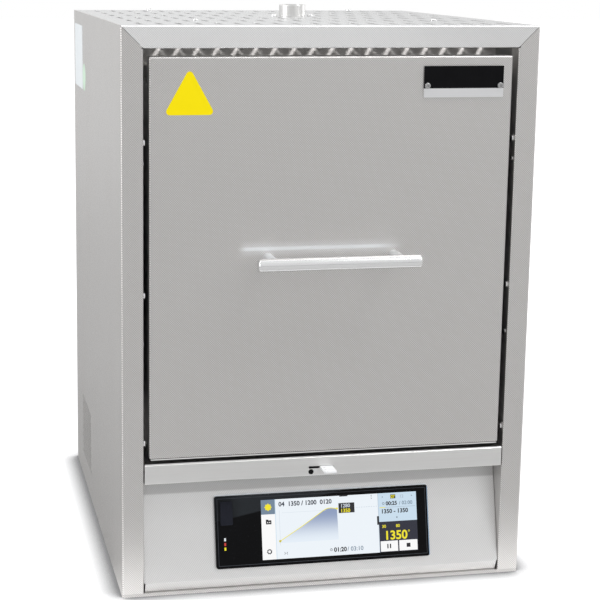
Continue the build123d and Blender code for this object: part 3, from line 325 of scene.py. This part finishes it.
def lit(name, colour, strength=0.95, top=None, bottom=None, foot=0.0, head=0.0):
    """A lit patch of the screen with its pixel grid, shaded from foot to head where given two colours."""
    t = Tree(name)
    x, y, z = t.split(t.place)
    grid = t.math("MULTIPLY", t.math("SINE", t.math("MULTIPLY", x, 2 * math.pi / 0.0004)),
                  t.math("SINE", t.math("MULTIPLY", z, 2 * math.pi / 0.0004)))
    shade = colour
    if top is not None:
        shade = t.mix(t.span(z, foot, head, smooth=True), bottom, top)
    glow = t.mix(t.span(grid, -1, 1, 0.0, 0.05), shade, (0.0, 0.0, 0.0))
    return t.surface(Base_Color=(0.01, 0.01, 0.012, 1), Roughness=0.12, Emission_Color=glow,
                     Emission_Strength=strength)


MATERIALS = {
    "housing_steel": textured_steel(),
    "inner_steel": plain_steel("inner_steel", (0.50, 0.49, 0.47), (0.62, 0.61, 0.59), 0.42),
    "smooth_steel": plain_steel("smooth_steel", (0.70, 0.695, 0.685), (0.79, 0.785, 0.775), 0.36,
                                (14, 14, 800)),
    "bright_metal": plain_steel("bright_metal", (0.72, 0.72, 0.72), (0.84, 0.84, 0.84), 0.18, (60, 60, 60)),
    "handle_steel": plain_steel("handle_steel", (0.78, 0.78, 0.78), (0.90, 0.90, 0.90), 0.13,
                                (40, 700, 700), 0.05),
    "insulation_fibre": fibre(),
    "dense_ceramic": ceramic("dense_ceramic", (0.88, 0.85, 0.77), 0.45),
    "element_disilicide": ceramic("element_disilicide", (0.24, 0.23, 0.23), 0.35, 0.3),
    "strap_aluminium": plain_steel("strap_aluminium", (0.72, 0.73, 0.75), (0.84, 0.85, 0.87), 0.38,
                                   (8, 600, 8)),
    "core_iron": laminations(),
    "coil_tape": coil_tape(),
    "grey_plastic": plastic("grey_plastic", (0.10, 0.105, 0.11), (0.14, 0.145, 0.15), 0.5),
    "black_plastic": plastic("black_plastic", (0.012, 0.012, 0.013), (0.022, 0.022, 0.024), 0.45),
    "rocker_plastic": plastic("rocker_plastic", (0.012, 0.012, 0.012), (0.02, 0.02, 0.02), 0.2, 300.0,
                              0.05),
    "black_rubber": plastic("black_rubber", (0.0045, 0.0055, 0.011), (0.0075, 0.009, 0.017), 0.6, 700.0,
                            0.3, 0.2),
    "black_glass": black_glass(),
    "display": lit("display", rgb(240, 246, 252)),
    "plate_black": name_plate_paint(),
}

BAR_LOW, BAR_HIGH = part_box("handle_bar")
SHEETS = {
    # Painted shade on the roof sheet: its level faces are darker, and it darkens towards its right end.
    "roof_panel": textured_steel("roof_sheet", 1.38, 0.1, spread=0.07, top=0.86,
                                 shade=(0, 0.0, 0.16, 0.90)),
    # Painted shadow: the panel sheet darkens in a band right under the sill.
    "control_panel": textured_steel("panel_sheet", 1.22, 0.3, spread=0.07, shade=(2, 0.0905, 0.0928, 0.70)),
    # Painted highlight on the side panels: their front faces grow lighter near the floor.
    "side_panel_left": textured_steel("left_sheet", foot=0.2),
    "side_panel_right": textured_steel("right_sheet", foot=0.2),
    # Painted reflection of the handle bar on the door sheet.
    "door_pan": textured_steel("door_sheet", painted_handle_reflection=(BAR_LOW[0] - 0.007, BAR_HIGH[0] - 0.009,
                                                     (BAR_LOW[2] + BAR_HIGH[2]) / 2 + 0.009)),
    # Painted shade: the cover's level faces are much darker than its upright faces.
    "inner_cover": textured_steel("cover_sheet", 1.35, 1.6, 0.15, 0.05, top=0.3, relief=0.08),
    "air_slide": plastic("slide_plastic", (0.84, 0.85, 0.87), (0.94, 0.95, 0.96), 0.3, 200.0, 0.05),
    "handle_posts": plain_steel("post_steel", (0.88, 0.89, 0.90), (0.97, 0.98, 0.99), 0.34, (90, 90, 90)),
    "name_plate_screws": plain_steel("screw_steel", (0.34, 0.34, 0.34), (0.55, 0.55, 0.55), 0.25,
                                     (300, 300, 300)),
}

for node_name, piece in NODES.items():
    material = SHEETS.get(node_name) or MATERIALS[SLOT_OF[node_name]]
    if piece.material_slots:
        for holder in piece.material_slots:
            holder.material = material
    else:
        piece.data.materials.append(material)

# ---------------------------------------------------------------- flat printed pieces

GLASS_HALF = 104.0
GLASS_MIDDLE = 43.2
GLASS_TOP = GLASS_MIDDLE + 33.8
GLASS_OUT = 2.0
FILM = 0.02
RIM_INSET = 2.4
RIM_WIDTH = 0.4
SCREEN_LEFT = 16.5 - 76.1
SCREEN_TOP = GLASS_MIDDLE + 27.9
LEAN = math.radians(13.8)
PANEL_FOOT = Vector((0.0, -212.3 * MM, 12.0 * MM))
PANEL_UP = Vector((0.0, math.sin(LEAN), math.cos(LEAN)))
PANEL_OUT = Vector((0.0, -math.cos(LEAN), math.sin(LEAN)))


class Face:
    """A flat place: points are given in millimetres across, up and off it."""

    def __init__(self, origin, right, up, out):
        self.origin, self.right, self.up, self.out = Vector(origin), Vector(right), Vector(up), Vector(out)

    def at(self, across, up, off=0.0):
        return self.origin + (self.right * across + self.up * up + self.out * off) * MM

    def matrix(self, across, up, off):
        turned = Matrix((self.right, self.up, self.out)).transposed().to_4x4()
        return Matrix.Translation(self.at(across, up, off)) @ turned


FRONT = Face((0, -212.5 * MM, 0), (1, 0, 0), (0, 0, 1), (0, -1, 0))
LEFT = Face((-192.5 * MM, 0, 0), (0, -1, 0), (0, 0, 1), (-1, 0, 0))
SLOPE = Face(PANEL_FOOT, (1, 0, 0), PANEL_UP, PANEL_OUT)


def finish_piece(obj, body, material):
    obj.data.materials.clear()
    obj.data.materials.append(material)
    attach(obj, body)
    return obj


def plate(name, face, outline, low, high, material, body="cabinet"):
    """A thin closed plate from an outline, counter-clockwise in the face's own millimetres."""
    count = len(outline)
    points = [face.at(x, y, low) for x, y in outline] + [face.at(x, y, high) for x, y in outline]
    faces = [tuple(range(count - 1, -1, -1)), tuple(range(count, 2 * count))]
    faces += [(i, (i + 1) % count, (i + 1) % count + count, i + count) for i in range(count)]
    mesh = bpy.data.meshes.new(name)
    mesh.from_pydata(points, [], faces)
    obj = bpy.data.objects.new(name, mesh)
    bpy.context.scene.collection.objects.link(obj)
    return finish_piece(obj, body, material)


def rectangle(x0, y0, x1, y1, radius=0.0, steps=6):
    """The outline of a rectangle with rounded corners."""
    if radius <= 0:
        return [(x0, y0), (x1, y0), (x1, y1), (x0, y1)]
    points = []
    for cx, cy, start in ((x1 - radius, y0 + radius, -90), (x1 - radius, y1 - radius, 0),
                          (x0 + radius, y1 - radius, 90), (x0 + radius, y0 + radius, 180)):
        for i in range(steps + 1):
            angle = math.radians(start + 90 * i / steps)
            points.append((cx + radius * math.cos(angle), cy + radius * math.sin(angle)))
    return points


def disc(x, y, radius, steps=24):
    return [(x + radius * math.cos(2 * math.pi * i / steps), y + radius * math.sin(2 * math.pi * i / steps))
            for i in range(steps)]


def ring(name, face, x, y, outer, inner, low, high, material, body="cabinet", steps=32):
    """A thin closed ring."""
    points, faces = [], []
    for off in (low, high):
        for radius in (outer, inner):
            points += [face.at(px, py, off) for px, py in disc(x, y, radius, steps)]
    for i in range(steps):
        j = (i + 1) % steps
        lo_out, lo_in, hi_out, hi_in = (k * steps for k in range(4))
        faces += [(lo_in + i, lo_in + j, lo_out + j, lo_out + i),
                  (hi_out + i, hi_out + j, hi_in + j, hi_in + i),
                  (lo_out + i, lo_out + j, hi_out + j, hi_out + i),
                  (lo_in + j, lo_in + i, hi_in + i, hi_in + j)]
    mesh = bpy.data.meshes.new(name)
    mesh.from_pydata(points, [], faces)
    obj = bpy.data.objects.new(name, mesh)
    bpy.context.scene.collection.objects.link(obj)
    return finish_piece(obj, body, material)


def digits(name, face, text, x, y, height, off, material, body="cabinet", bold=0.0, align="LEFT"):
    """Plain figures as a thin closed mesh; height is that of a figure in millimetres."""
    curve = bpy.data.curves.new(name, "FONT")
    curve.body = text
    curve.size = height / 0.71 * MM
    curve.align_x = align
    curve.offset = bold * MM
    curve.extrude = 0.01 * MM
    curve.resolution_u = 4
    text_object = bpy.data.objects.new(name + ".text", curve)
    bpy.context.scene.collection.objects.link(text_object)
    bpy.context.view_layer.update()
    mesh = bpy.data.meshes.new_from_object(text_object.evaluated_get(bpy.context.evaluated_depsgraph_get()))
    bpy.data.objects.remove(text_object)
    mesh.transform(face.matrix(x, y, off))
    obj = bpy.data.objects.new(name, mesh)
    bpy.context.scene.collection.objects.link(obj)
    return finish_piece(obj, body, material)


# ---------------------------------------------------------------- stickers, marks and bright edges painted as highlights

YELLOW_FILM = sheet_print("yellow_film", rgb(254, 230, 0), 0.45, 0.04)
WHITE_FILM = sheet_print("white_film", rgb(220, 225, 228), 0.4, 0.05)
GREEN_FILM = sheet_print("green_film", rgb(196, 222, 200), 0.4, 0.05)
INK = sheet_print("ink", rgb(14, 14, 15), 0.5, 0.02)


def triangle_outline(x0, y0, x1, y1, radius=4.0, steps=6):
    """An upright triangle with rounded corners that fills the given box."""
    corners = [(x0, y0), (x1, y0), ((x0 + x1) / 2, y1)]
    points = []
    for k, (cx, cy) in enumerate(corners):
        before = Vector(corners[k - 1]) - Vector((cx, cy))
        after = Vector(corners[(k + 1) % 3]) - Vector((cx, cy))
        half = before.angle(after) / 2
        middle = (before.normalized() + after.normalized()).normalized()
        hub = Vector((cx, cy)) + middle * (radius / math.sin(half))
        start = Vector((cx, cy)) + before.normalized() * (radius / math.tan(half)) - hub
        end = Vector((cx, cy)) + after.normalized() * (radius / math.tan(half)) - hub
        a0 = math.atan2(start.y, start.x)
        a1 = math.atan2(end.y, end.x)
        while a1 < a0:
            a1 += 2 * math.pi
        points += [(hub.x + radius * math.cos(a0 + (a1 - a0) * i / steps),
                    hub.y + radius * math.sin(a0 + (a1 - a0) * i / steps)) for i in range(steps + 1)]
    return points


plate("caution_place", FRONT, triangle_outline(-154.6, 446.6, -108.2, 488.4, 3.2), 0.0, 0.18,
      YELLOW_FILM, "door")
plate("side_label", LEFT, rectangle(-202, 443, -120, 511, 1.5), 0.0, 0.08, WHITE_FILM)
plate("side_dot", LEFT, disc(-104, 457, 14.5, 40), 0.0, 0.06, GREEN_FILM)
plate("lever_dot", FRONT, disc(-15.2, 112.2, 2.5), 0.0, 0.06, INK)
ring("lever_circle", FRONT, 5.0, 112.8, 1.9, 1.3, 0.0, 0.06, INK)

for hand, side in ((-1, "left"), (1, "right")):
    x0, x1 = sorted((hand * 171.05, hand * 172.2))
    plate(f"panel_flange_{side}", SLOPE, rectangle(x0, 0.4, x1, 96.5), -6.0, -0.35, SHEETS["control_panel"])
# Painted highlight: a pale blue strip along the glass's right edge.
RIGHT_EDGE_HIGHLIGHT = sheet_print("right_edge_highlight", rgb(140, 168, 196), 0.25, 0.0)
plate("glass_right_highlight", SLOPE, rectangle(GLASS_HALF - 0.65, GLASS_MIDDLE - 33.0, GLASS_HALF - 0.1,
      GLASS_MIDDLE + 33.0), GLASS_OUT, GLASS_OUT + 0.03, RIGHT_EDGE_HIGHLIGHT)

RIM_GLASS = sheet_print("rim_glass", rgb(66, 69, 74), 0.3, 0.0)
RIM_X = GLASS_HALF - RIM_INSET
RIM_TOP = GLASS_MIDDLE + 31.0
RIM_FOOT = GLASS_MIDDLE - 31.0
for side, box in (("left", (-RIM_X, RIM_FOOT, RIM_WIDTH - RIM_X, RIM_TOP)),
                  ("right", (RIM_X - RIM_WIDTH, RIM_FOOT, RIM_X, RIM_TOP)),
                  ("foot", (-RIM_X, RIM_FOOT - RIM_WIDTH, RIM_X, RIM_FOOT)),
                  ("head", (-RIM_X, RIM_TOP, RIM_X, RIM_TOP + RIM_WIDTH))):
    plate(f"glass_rim_{side}", SLOPE, rectangle(*box), GLASS_OUT, GLASS_OUT + FILM, RIM_GLASS)
# Painted highlight: a pale line on the panel along the glass's upper edge.
TOP_EDGE_HIGHLIGHT = sheet_print("top_edge_highlight", rgb(236, 240, 243), 0.4, 0.04)
plate("glass_head_highlight", SLOPE, rectangle(0.4 - GLASS_HALF, GLASS_TOP + 0.1, GLASS_HALF - 0.4,
      GLASS_TOP + 1.2, 0.4), 0.0, 0.05, TOP_EDGE_HIGHLIGHT)
(door_x0, _, door_z0), (door_x1, _, _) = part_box("door_pan")
sill_z1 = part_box("sill_panel")[1][2]
# Thin steel lips along the door's foot and the sill's head, in a brighter steel that paints their edge
# highlights.
LIP_HIGHLIGHT_STEEL = plain_steel("lip_highlight_steel", (0.86, 0.86, 0.85), (0.95, 0.95, 0.94), 0.30, (9, 300, 300))
plate("door_foot_highlight_lip", FRONT, rectangle(door_x0 / MM + 1.5, door_z0 / MM - 1.0, door_x1 / MM - 1.5,
      door_z0 / MM, 0.4), -2.5, -0.2, LIP_HIGHLIGHT_STEEL, "door")
plate("sill_head_highlight_lip", FRONT, rectangle(-171.5, sill_z1 / MM, 171.5, sill_z1 / MM + 0.8, 0.35),
      -3.0, -0.4, LIP_HIGHLIGHT_STEEL)

# ---------------------------------------------------------------- what the screen shows

PAPER = lit("screen_paper", rgb(240, 247, 253))
WHITE = lit("screen_white", rgb(254, 254, 254))
PALE = lit("screen_pale", rgb(203, 224, 240))
SLATE = lit("screen_slate", rgb(112, 132, 152))
NAVY = lit("screen_navy", rgb(24, 26, 44))
BLACK = lit("screen_black", rgb(8, 9, 16))
YELLOW = lit("screen_yellow", rgb(246, 232, 16))
OLIVE = lit("screen_olive", rgb(206, 190, 40))
GREY = lit("screen_grey", rgb(46, 52, 66))
LIGHT = lit("screen_light", rgb(168, 184, 200))
FAINT = lit("screen_faint", rgb(214, 224, 234))
AREA = lit("screen_area", rgb(200, 220, 240), top=rgb(140, 156, 190), bottom=rgb(232, 242, 252),
           foot=(12 + (SCREEN_TOP - 41) * 0.97) * MM, head=(12 + (SCREEN_TOP - 13) * 0.97) * MM)
RED = lit("screen_red", rgb(214, 52, 40), 0.8)
screen_count = 0


def on_screen(outline, level, material):
    """A patch of the screen, in millimetres right of and down from the screen's upper left corner."""
    global screen_count
    screen_count += 1
    flipped = [(SCREEN_LEFT + x, SCREEN_TOP - y) for x, y in reversed(outline)]
    low = GLASS_OUT + FILM * (level - 1)
    plate(f"screen_{screen_count:03d}", SLOPE, flipped, low, low + FILM, material)


def box_on_screen(x0, y0, x1, y1, level, material, radius=0.0):
    on_screen(rectangle(x0, y0, x1, y1, radius), level, material)


def figures(text, x, y, height, level, material, bold=0.0, align="LEFT"):
    """Figures whose foot stands at y below the screen's top."""
    global screen_count
    screen_count += 1
    digits(f"screen_{screen_count:03d}", SLOPE, text, SCREEN_LEFT + x, SCREEN_TOP - y, height,
           GLASS_OUT + FILM * level, material, bold=bold, align=align)


def stroke(x0, y0, x1, y1, width, level, material):
    """A straight line on the screen."""
    way = Vector((x1 - x0, y1 - y0)).normalized() * (width / 2)
    side = Vector((-way.y, way.x))
    on_screen([(x0 + side.x, y0 + side.y), (x0 - side.x, y0 - side.y), (x1 - side.x, y1 - side.y),
               (x1 + side.x, y1 + side.y)][::-1], level, material)


box_on_screen(0, 0, 13.4, 13.6, 1, SLATE)
box_on_screen(0, 13.6, 13.4, 55.8, 1, WHITE)
box_on_screen(13.4, 0, 14.0, 55.8, 1, PALE)
box_on_screen(14.0, 0, 114.0, 55.8, 1, PAPER)
box_on_screen(114.0, 0, 114.4, 55.8, 1, LIGHT)
box_on_screen(114.4, 0, 152.2, 27.0, 1, PALE)
box_on_screen(114.4, 27.0, 152.2, 55.8, 1, NAVY)
box_on_screen(115.2, 45.4, 132.3, 55.2, 2, WHITE)
box_on_screen(133.6, 45.4, 151.6, 55.2, 2, WHITE)

petals = []
for i in range(48):
    angle = 2 * math.pi * i / 48
    reach = 3.1 + 0.42 * math.cos(8 * angle)
    petals.append((6.8 + reach * math.cos(angle), 7.0 + reach * math.sin(angle)))
on_screen(petals, 2, YELLOW)
box_on_screen(4.3, 18.4, 6.6, 19.4, 2, BLACK)
box_on_screen(4.3, 19.2, 9.6, 22.9, 2, BLACK, 0.4)
on_screen(disc(6.0, 21.2, 0.55, 12), 3, WHITE)
on_screen(disc(7.9, 21.2, 0.55, 12), 3, WHITE)
cog = []
for i in range(64):
    angle = 2 * math.pi * i / 64
    reach = 2.55 if (i // 4) % 2 else 2.15
    cog.append((6.8 + reach * math.cos(angle), 48.4 + reach * math.sin(angle)))
on_screen(cog, 2, BLACK)
on_screen(disc(6.8, 48.4, 1.35, 20), 3, WHITE)

figures("04  1350 / 1200  0120", 17.0, 6.7, 4.1, 2, GREY, 0.17)
for y in (1.5, 2.9, 4.3):
    on_screen(disc(107.7, y, 0.38, 12), 2, GREY)
box_on_screen(76.4, -0.4, 84.4, 0.9, 2, BLACK, 0.3)
stroke(17.5, 10.4, 17.5, 43.2, 0.35, 2, FAINT)
stroke(20.0, 12.9, 63.0, 12.9, 0.25, 2, FAINT)
curve_points = [(17.4, 39.2), (40.0, 26.0), (60.0, 13.2), (62.4, 11.9), (65.0, 11.1), (68.0, 11.0),
                (73.6, 11.9)]
on_screen(curve_points[::-1] + [(17.4, 41.0), (74.2, 41.0)], 2, AREA)
for (ax, ay), (bx, by) in zip(curve_points, curve_points[1:]):
    stroke(ax, ay, bx, by, 0.62, 3, YELLOW)
on_screen(disc(17.4, 39.2, 1.15, 20), 4, OLIVE)
on_screen(disc(73.6, 11.9, 1.0, 20), 4, YELLOW)
box_on_screen(75.2, 7.0, 90.8, 16.4, 3, BLACK)
figures("1280", 77.0, 11.2, 3.4, 3, FAINT, 0.08)
figures("1350", 77.0, 15.8, 3.4, 3, YELLOW, 0.12)
for i in range(9):
    stroke(92.6 + 2.4 * i, 11.9, 93.9 + 2.4 * i, 11.9, 0.3, 2, LIGHT)
for sx in (-1, 1):
    stroke(22.6 + sx * 1.6, 49.6, 22.6 + sx * 0.5, 50.8, 0.35, 2, GREY)
    stroke(22.6 + sx * 0.5, 50.8, 22.6 + sx * 1.6, 52.0, 0.35, 2, GREY)
on_screen(disc(66.6, 50.2, 1.25, 20), 2, GREY)
on_screen(disc(66.6, 50.2, 0.85, 20), 3, PAPER)
stroke(66.6, 50.2, 66.6, 49.4, 0.3, 4, GREY)
figures("01:20", 69.2, 52.3, 4.0, 2, BLACK, 0.2)
figures("/ 03:10", 82.4, 52.3, 4.0, 2, SLATE, 0.08)

on_screen([(119.2, 2.6), (118.0, 3.6), (119.2, 4.6), (118.6, 3.6)][::-1], 2, GREY)
on_screen([(147.0, 2.6), (148.2, 3.6), (147.0, 4.6), (147.6, 3.6)], 2, GREY)
box_on_screen(126.6, 1.7, 131.6, 5.5, 2, BLACK)
figures("07", 126.9, 5.1, 2.9, 2, YELLOW, 0.10)
figures("12", 135.6, 5.1, 2.9, 2, LIGHT, 0.06)
on_screen(disc(119.4, 9.8, 1.15, 20), 2, GREY)
on_screen(disc(119.4, 9.8, 0.8, 20), 3, PALE)
figures("00:25", 121.8, 11.6, 3.6, 2, BLACK, 0.17)
figures("/ 02:00", 135.0, 11.6, 3.4, 2, SLATE, 0.06)
stroke(115.6, 13.6, 121.0, 13.6, 0.6, 3, YELLOW)
stroke(121.0, 13.6, 151.0, 13.6, 0.4, 2, LIGHT)
figures("1350 - 1350", 116.8, 19.1, 3.9, 2, BLACK, 0.17)
on_screen([(131.4, 23.0), (133.2, 23.0), (132.3, 24.3)], 2, GREY)
box_on_screen(112.6, 21.4, 114.6, 29.6, 3, BLACK, 0.4)
figures("30", 117.2, 32.8, 2.8, 2, YELLOW, 0.08)
figures("80", 131.0, 32.8, 2.8, 2, YELLOW, 0.08)
figures("1350", 119.0, 44.0, 8.2, 2, YELLOW, 0.3)
ring("screen_degree", SLOPE, SCREEN_LEFT + 143.6, SCREEN_TOP - 36.8, 0.9, 0.5, GLASS_OUT + 0.03,
     GLASS_OUT + 0.05, YELLOW)
box_on_screen(121.6, 48.2, 122.8, 52.4, 3, BLACK)
box_on_screen(124.2, 48.2, 125.4, 52.4, 3, BLACK)
box_on_screen(140.8, 48.4, 144.6, 52.2, 3, BLACK)

for drop, mark in ((40.6, WHITE_FILM), (45.0, RED), (49.3, YELLOW)):
    mark_z = GLASS_TOP - drop
    plate(f"glass_mark_{int(drop)}", SLOPE, rectangle(8.2 - GLASS_HALF, mark_z - 1.4, 9.9 - GLASS_HALF,
          mark_z + 1.4), GLASS_OUT, GLASS_OUT + FILM, mark)

# ---------------------------------------------------------------- floor, light and camera

FLOOR_NEAR = 1.0
FLOOR_MIDDLE = 0.46
FLOOR_FAR = 0.60
FLOOR_BEHIND = 0.40
FLOOR_BEHIND_FAR = 0.95
SHADE_REACH = 0.028
SKY_FRONT = 0.75
SKY_TOP = 0.85
SKY_BEHIND = 1.12


def backdrop_material():
    """White paper: the camera sees it white but for the soft shade close round the furnace."""
    t = Tree("floor")
    x, y, z = t.split(t.place)
    reach = t.math("SQRT", t.math("ADD", t.math("MULTIPLY", x, x), t.math("MULTIPLY", y, y)))
    paths = t.add("ShaderNodeLightPath").outputs
    ahead_of_it = t.span(y, -0.10, -0.25, 0.0, 1.0, True)
    forward = t.math("MULTIPLY", y, -1.0)
    paper = t.math("ADD", t.span(forward, 0.215, 0.34, FLOOR_NEAR, FLOOR_MIDDLE, True),
                   t.span(forward, 2.2, 4.5, 0.0, FLOOR_FAR - FLOOR_MIDDLE, True))
    rear = t.span(y, 1.2, 4.0, FLOOR_BEHIND, FLOOR_BEHIND_FAR, True)
    paper = t.math("ADD", t.math("MULTIPLY", paper, ahead_of_it),
                   t.math("MULTIPLY", t.math("SUBTRACT", 1.0, ahead_of_it), rear))
    seen = t.math("MAXIMUM", paths["Is Camera Ray"], paths["Is Transmission Ray"])
    shade = t.mix(seen, t.even(paper), (0.24, 0.24, 0.245))
    matt = t.add("ShaderNodeBsdfDiffuse", {"Color": shade})
    closed = t.add("ShaderNodeAmbientOcclusion", {"Distance": SHADE_REACH}, samples=16).outputs["AO"]
    light = t.math("MAXIMUM", t.span(closed, 0.54, 0.96, 0.0, 0.92),
                   t.span(reach, 0.45, 0.8, 0.0, 1.0, True))
    glow = t.add("ShaderNodeEmission", {"Color": (1, 1, 1, 1), "Strength": t.math("MULTIPLY", seen, light)})
    both = t.add("ShaderNodeAddShader")
    t.tree.links.new(matt.outputs[0], both.inputs[0])
    t.tree.links.new(glow.outputs[0], both.inputs[1])
    t.tree.links.new(both.outputs[0], t.output.inputs[0])
    return t.material


floor_mesh = bpy.data.meshes.new("floor")
REACH = 14.0
floor_mesh.from_pydata([(-REACH, -REACH, 0), (REACH, -REACH, 0), (REACH, REACH, 0), (-REACH, REACH, 0)], [],
                       [(0, 1, 2, 3)])
floor = bpy.data.objects.new("floor", floor_mesh)
bpy.context.scene.collection.objects.link(floor)
floor.data.materials.append(backdrop_material())

world = bpy.data.worlds.new("studio")
bpy.context.scene.world = world
world.use_nodes = True
wt = world.node_tree
wt.nodes.clear()


def world_node(kind, sockets=(), **settings):
    node = wt.nodes.new(kind)
    for key, value in settings.items():
        setattr(node, key, value)
    for key, value in dict(sockets).items():
        if isinstance(value, bpy.types.NodeSocket):
            wt.links.new(value, node.inputs[key])
        else:
            node.inputs[key].default_value = value
    return node


way = world_node("ShaderNodeTexCoord").outputs["Generated"]
_, along_y, along_z = world_node("ShaderNodeSeparateXYZ", {0: way}).outputs
height = world_node("ShaderNodeMapRange", {"Value": along_z, "From Min": 0.0, "From Max": 0.9,
                                           "To Min": SKY_FRONT, "To Max": SKY_TOP}).outputs[0]
behind = world_node("ShaderNodeMapRange", {"Value": along_y, "From Min": 0.1, "From Max": 0.9,
                                           "To Min": 1.0, "To Max": SKY_BEHIND}).outputs[0]
level = world_node("ShaderNodeMath", {0: height, 1: behind}, operation="MULTIPLY").outputs[0]
soft = world_node("ShaderNodeBackground", {"Color": (0.99, 0.995, 1.0, 1), "Strength": level})
plain = world_node("ShaderNodeBackground", {"Color": (1, 1, 1, 1), "Strength": 1.0})
camera_ray = world_node("ShaderNodeLightPath").outputs["Is Camera Ray"]
choose = world_node("ShaderNodeMixShader", {0: camera_ray, 1: soft.outputs[0], 2: plain.outputs[0]})
world_node("ShaderNodeOutputWorld", {0: choose.outputs[0]})


def softbox(name, place, aim, width, height, power):
    lamp = bpy.data.lights.new(name, "AREA")
    lamp.shape = "RECTANGLE"
    lamp.size, lamp.size_y = width, height
    lamp.energy = power
    obj = bpy.data.objects.new(name, lamp)
    obj.location = place
    obj.rotation_mode = "QUATERNION"
    obj.rotation_quaternion = (Vector(aim) - Vector(place)).to_track_quat("-Z", "Y")
    bpy.context.scene.collection.objects.link(obj)
    return obj


softbox("key", (1.35, -1.25, 2.85), (0, -0.15, 0.5), 0.5, 0.5, 32)
softbox("left", (-2.2, -1.1, 2.6), (0, -0.15, 0.5), 0.5, 0.5, 11)
softbox("edge_left", (-2.5, -0.35, 0.8), (-0.19, -0.2, 0.3), 0.7, 1.5, 16)
softbox("edge_right", (2.5, 0.75, 0.8), (0.19, -0.2, 0.3), 0.7, 1.5, 10)
# Two hard lamps for the cover alone: through the roof's slots they draw the slanted bars over the door.
cover_only = bpy.data.collections.new("cover_only")
cover_only.objects.link(NODES["inner_cover"])
for name, place, power in (("slots_right", (1.22, -1.14, 2.7), 140),
                           ("slots_left", (-2.2, -1.14, 2.7), 90)):
    lamp = softbox(name, place, (0, -0.15, 0.5), 0.18, 0.18, power)
    lamp.light_linking.receiver_collection = cover_only
softbox("fill", (2.2, -1.9, 2.3), (0, 0, 0.3), 1.6, 1.6, 16)
softbox("top", (-0.2, 0.5, 2.7), (0, 0, 0.5), 2.0, 1.6, 10)
softbox("side", (-2.0, 1.2, 2.6), (-0.2, 0, 0.5), 1.4, 1.4, 18)

camera_data = bpy.data.cameras.new("camera")
camera = bpy.data.objects.new("camera", camera_data)
bpy.context.scene.collection.objects.link(camera)
bpy.context.scene.camera = camera
PHOTO_SIDE_PX = 600
FOCAL_PX = 1540
SENSOR = 36.0
CAMERA_PLACE = (-0.3574, -1.5477, 0.5795)
CAMERA_YAW, CAMERA_PITCH, CAMERA_ROLL = 10.85, 10.23, 0.46
camera_data.sensor_width = SENSOR
camera_data.lens = FOCAL_PX * SENSOR / PHOTO_SIDE_PX
camera_data.shift_x = 0.13
camera_data.shift_y = -0.10
yaw, pitch = math.radians(CAMERA_YAW), math.radians(CAMERA_PITCH)
ahead = Vector((math.sin(yaw) * math.cos(pitch), math.cos(yaw) * math.cos(pitch), -math.sin(pitch)))
camera.location = CAMERA_PLACE
camera.rotation_mode = "QUATERNION"
roll = Quaternion((0, 0, 1), math.radians(CAMERA_ROLL))
camera.rotation_quaternion = ahead.to_track_quat("-Z", "Y") @ roll

scene = bpy.context.scene
scene.view_settings.view_transform = "Standard"
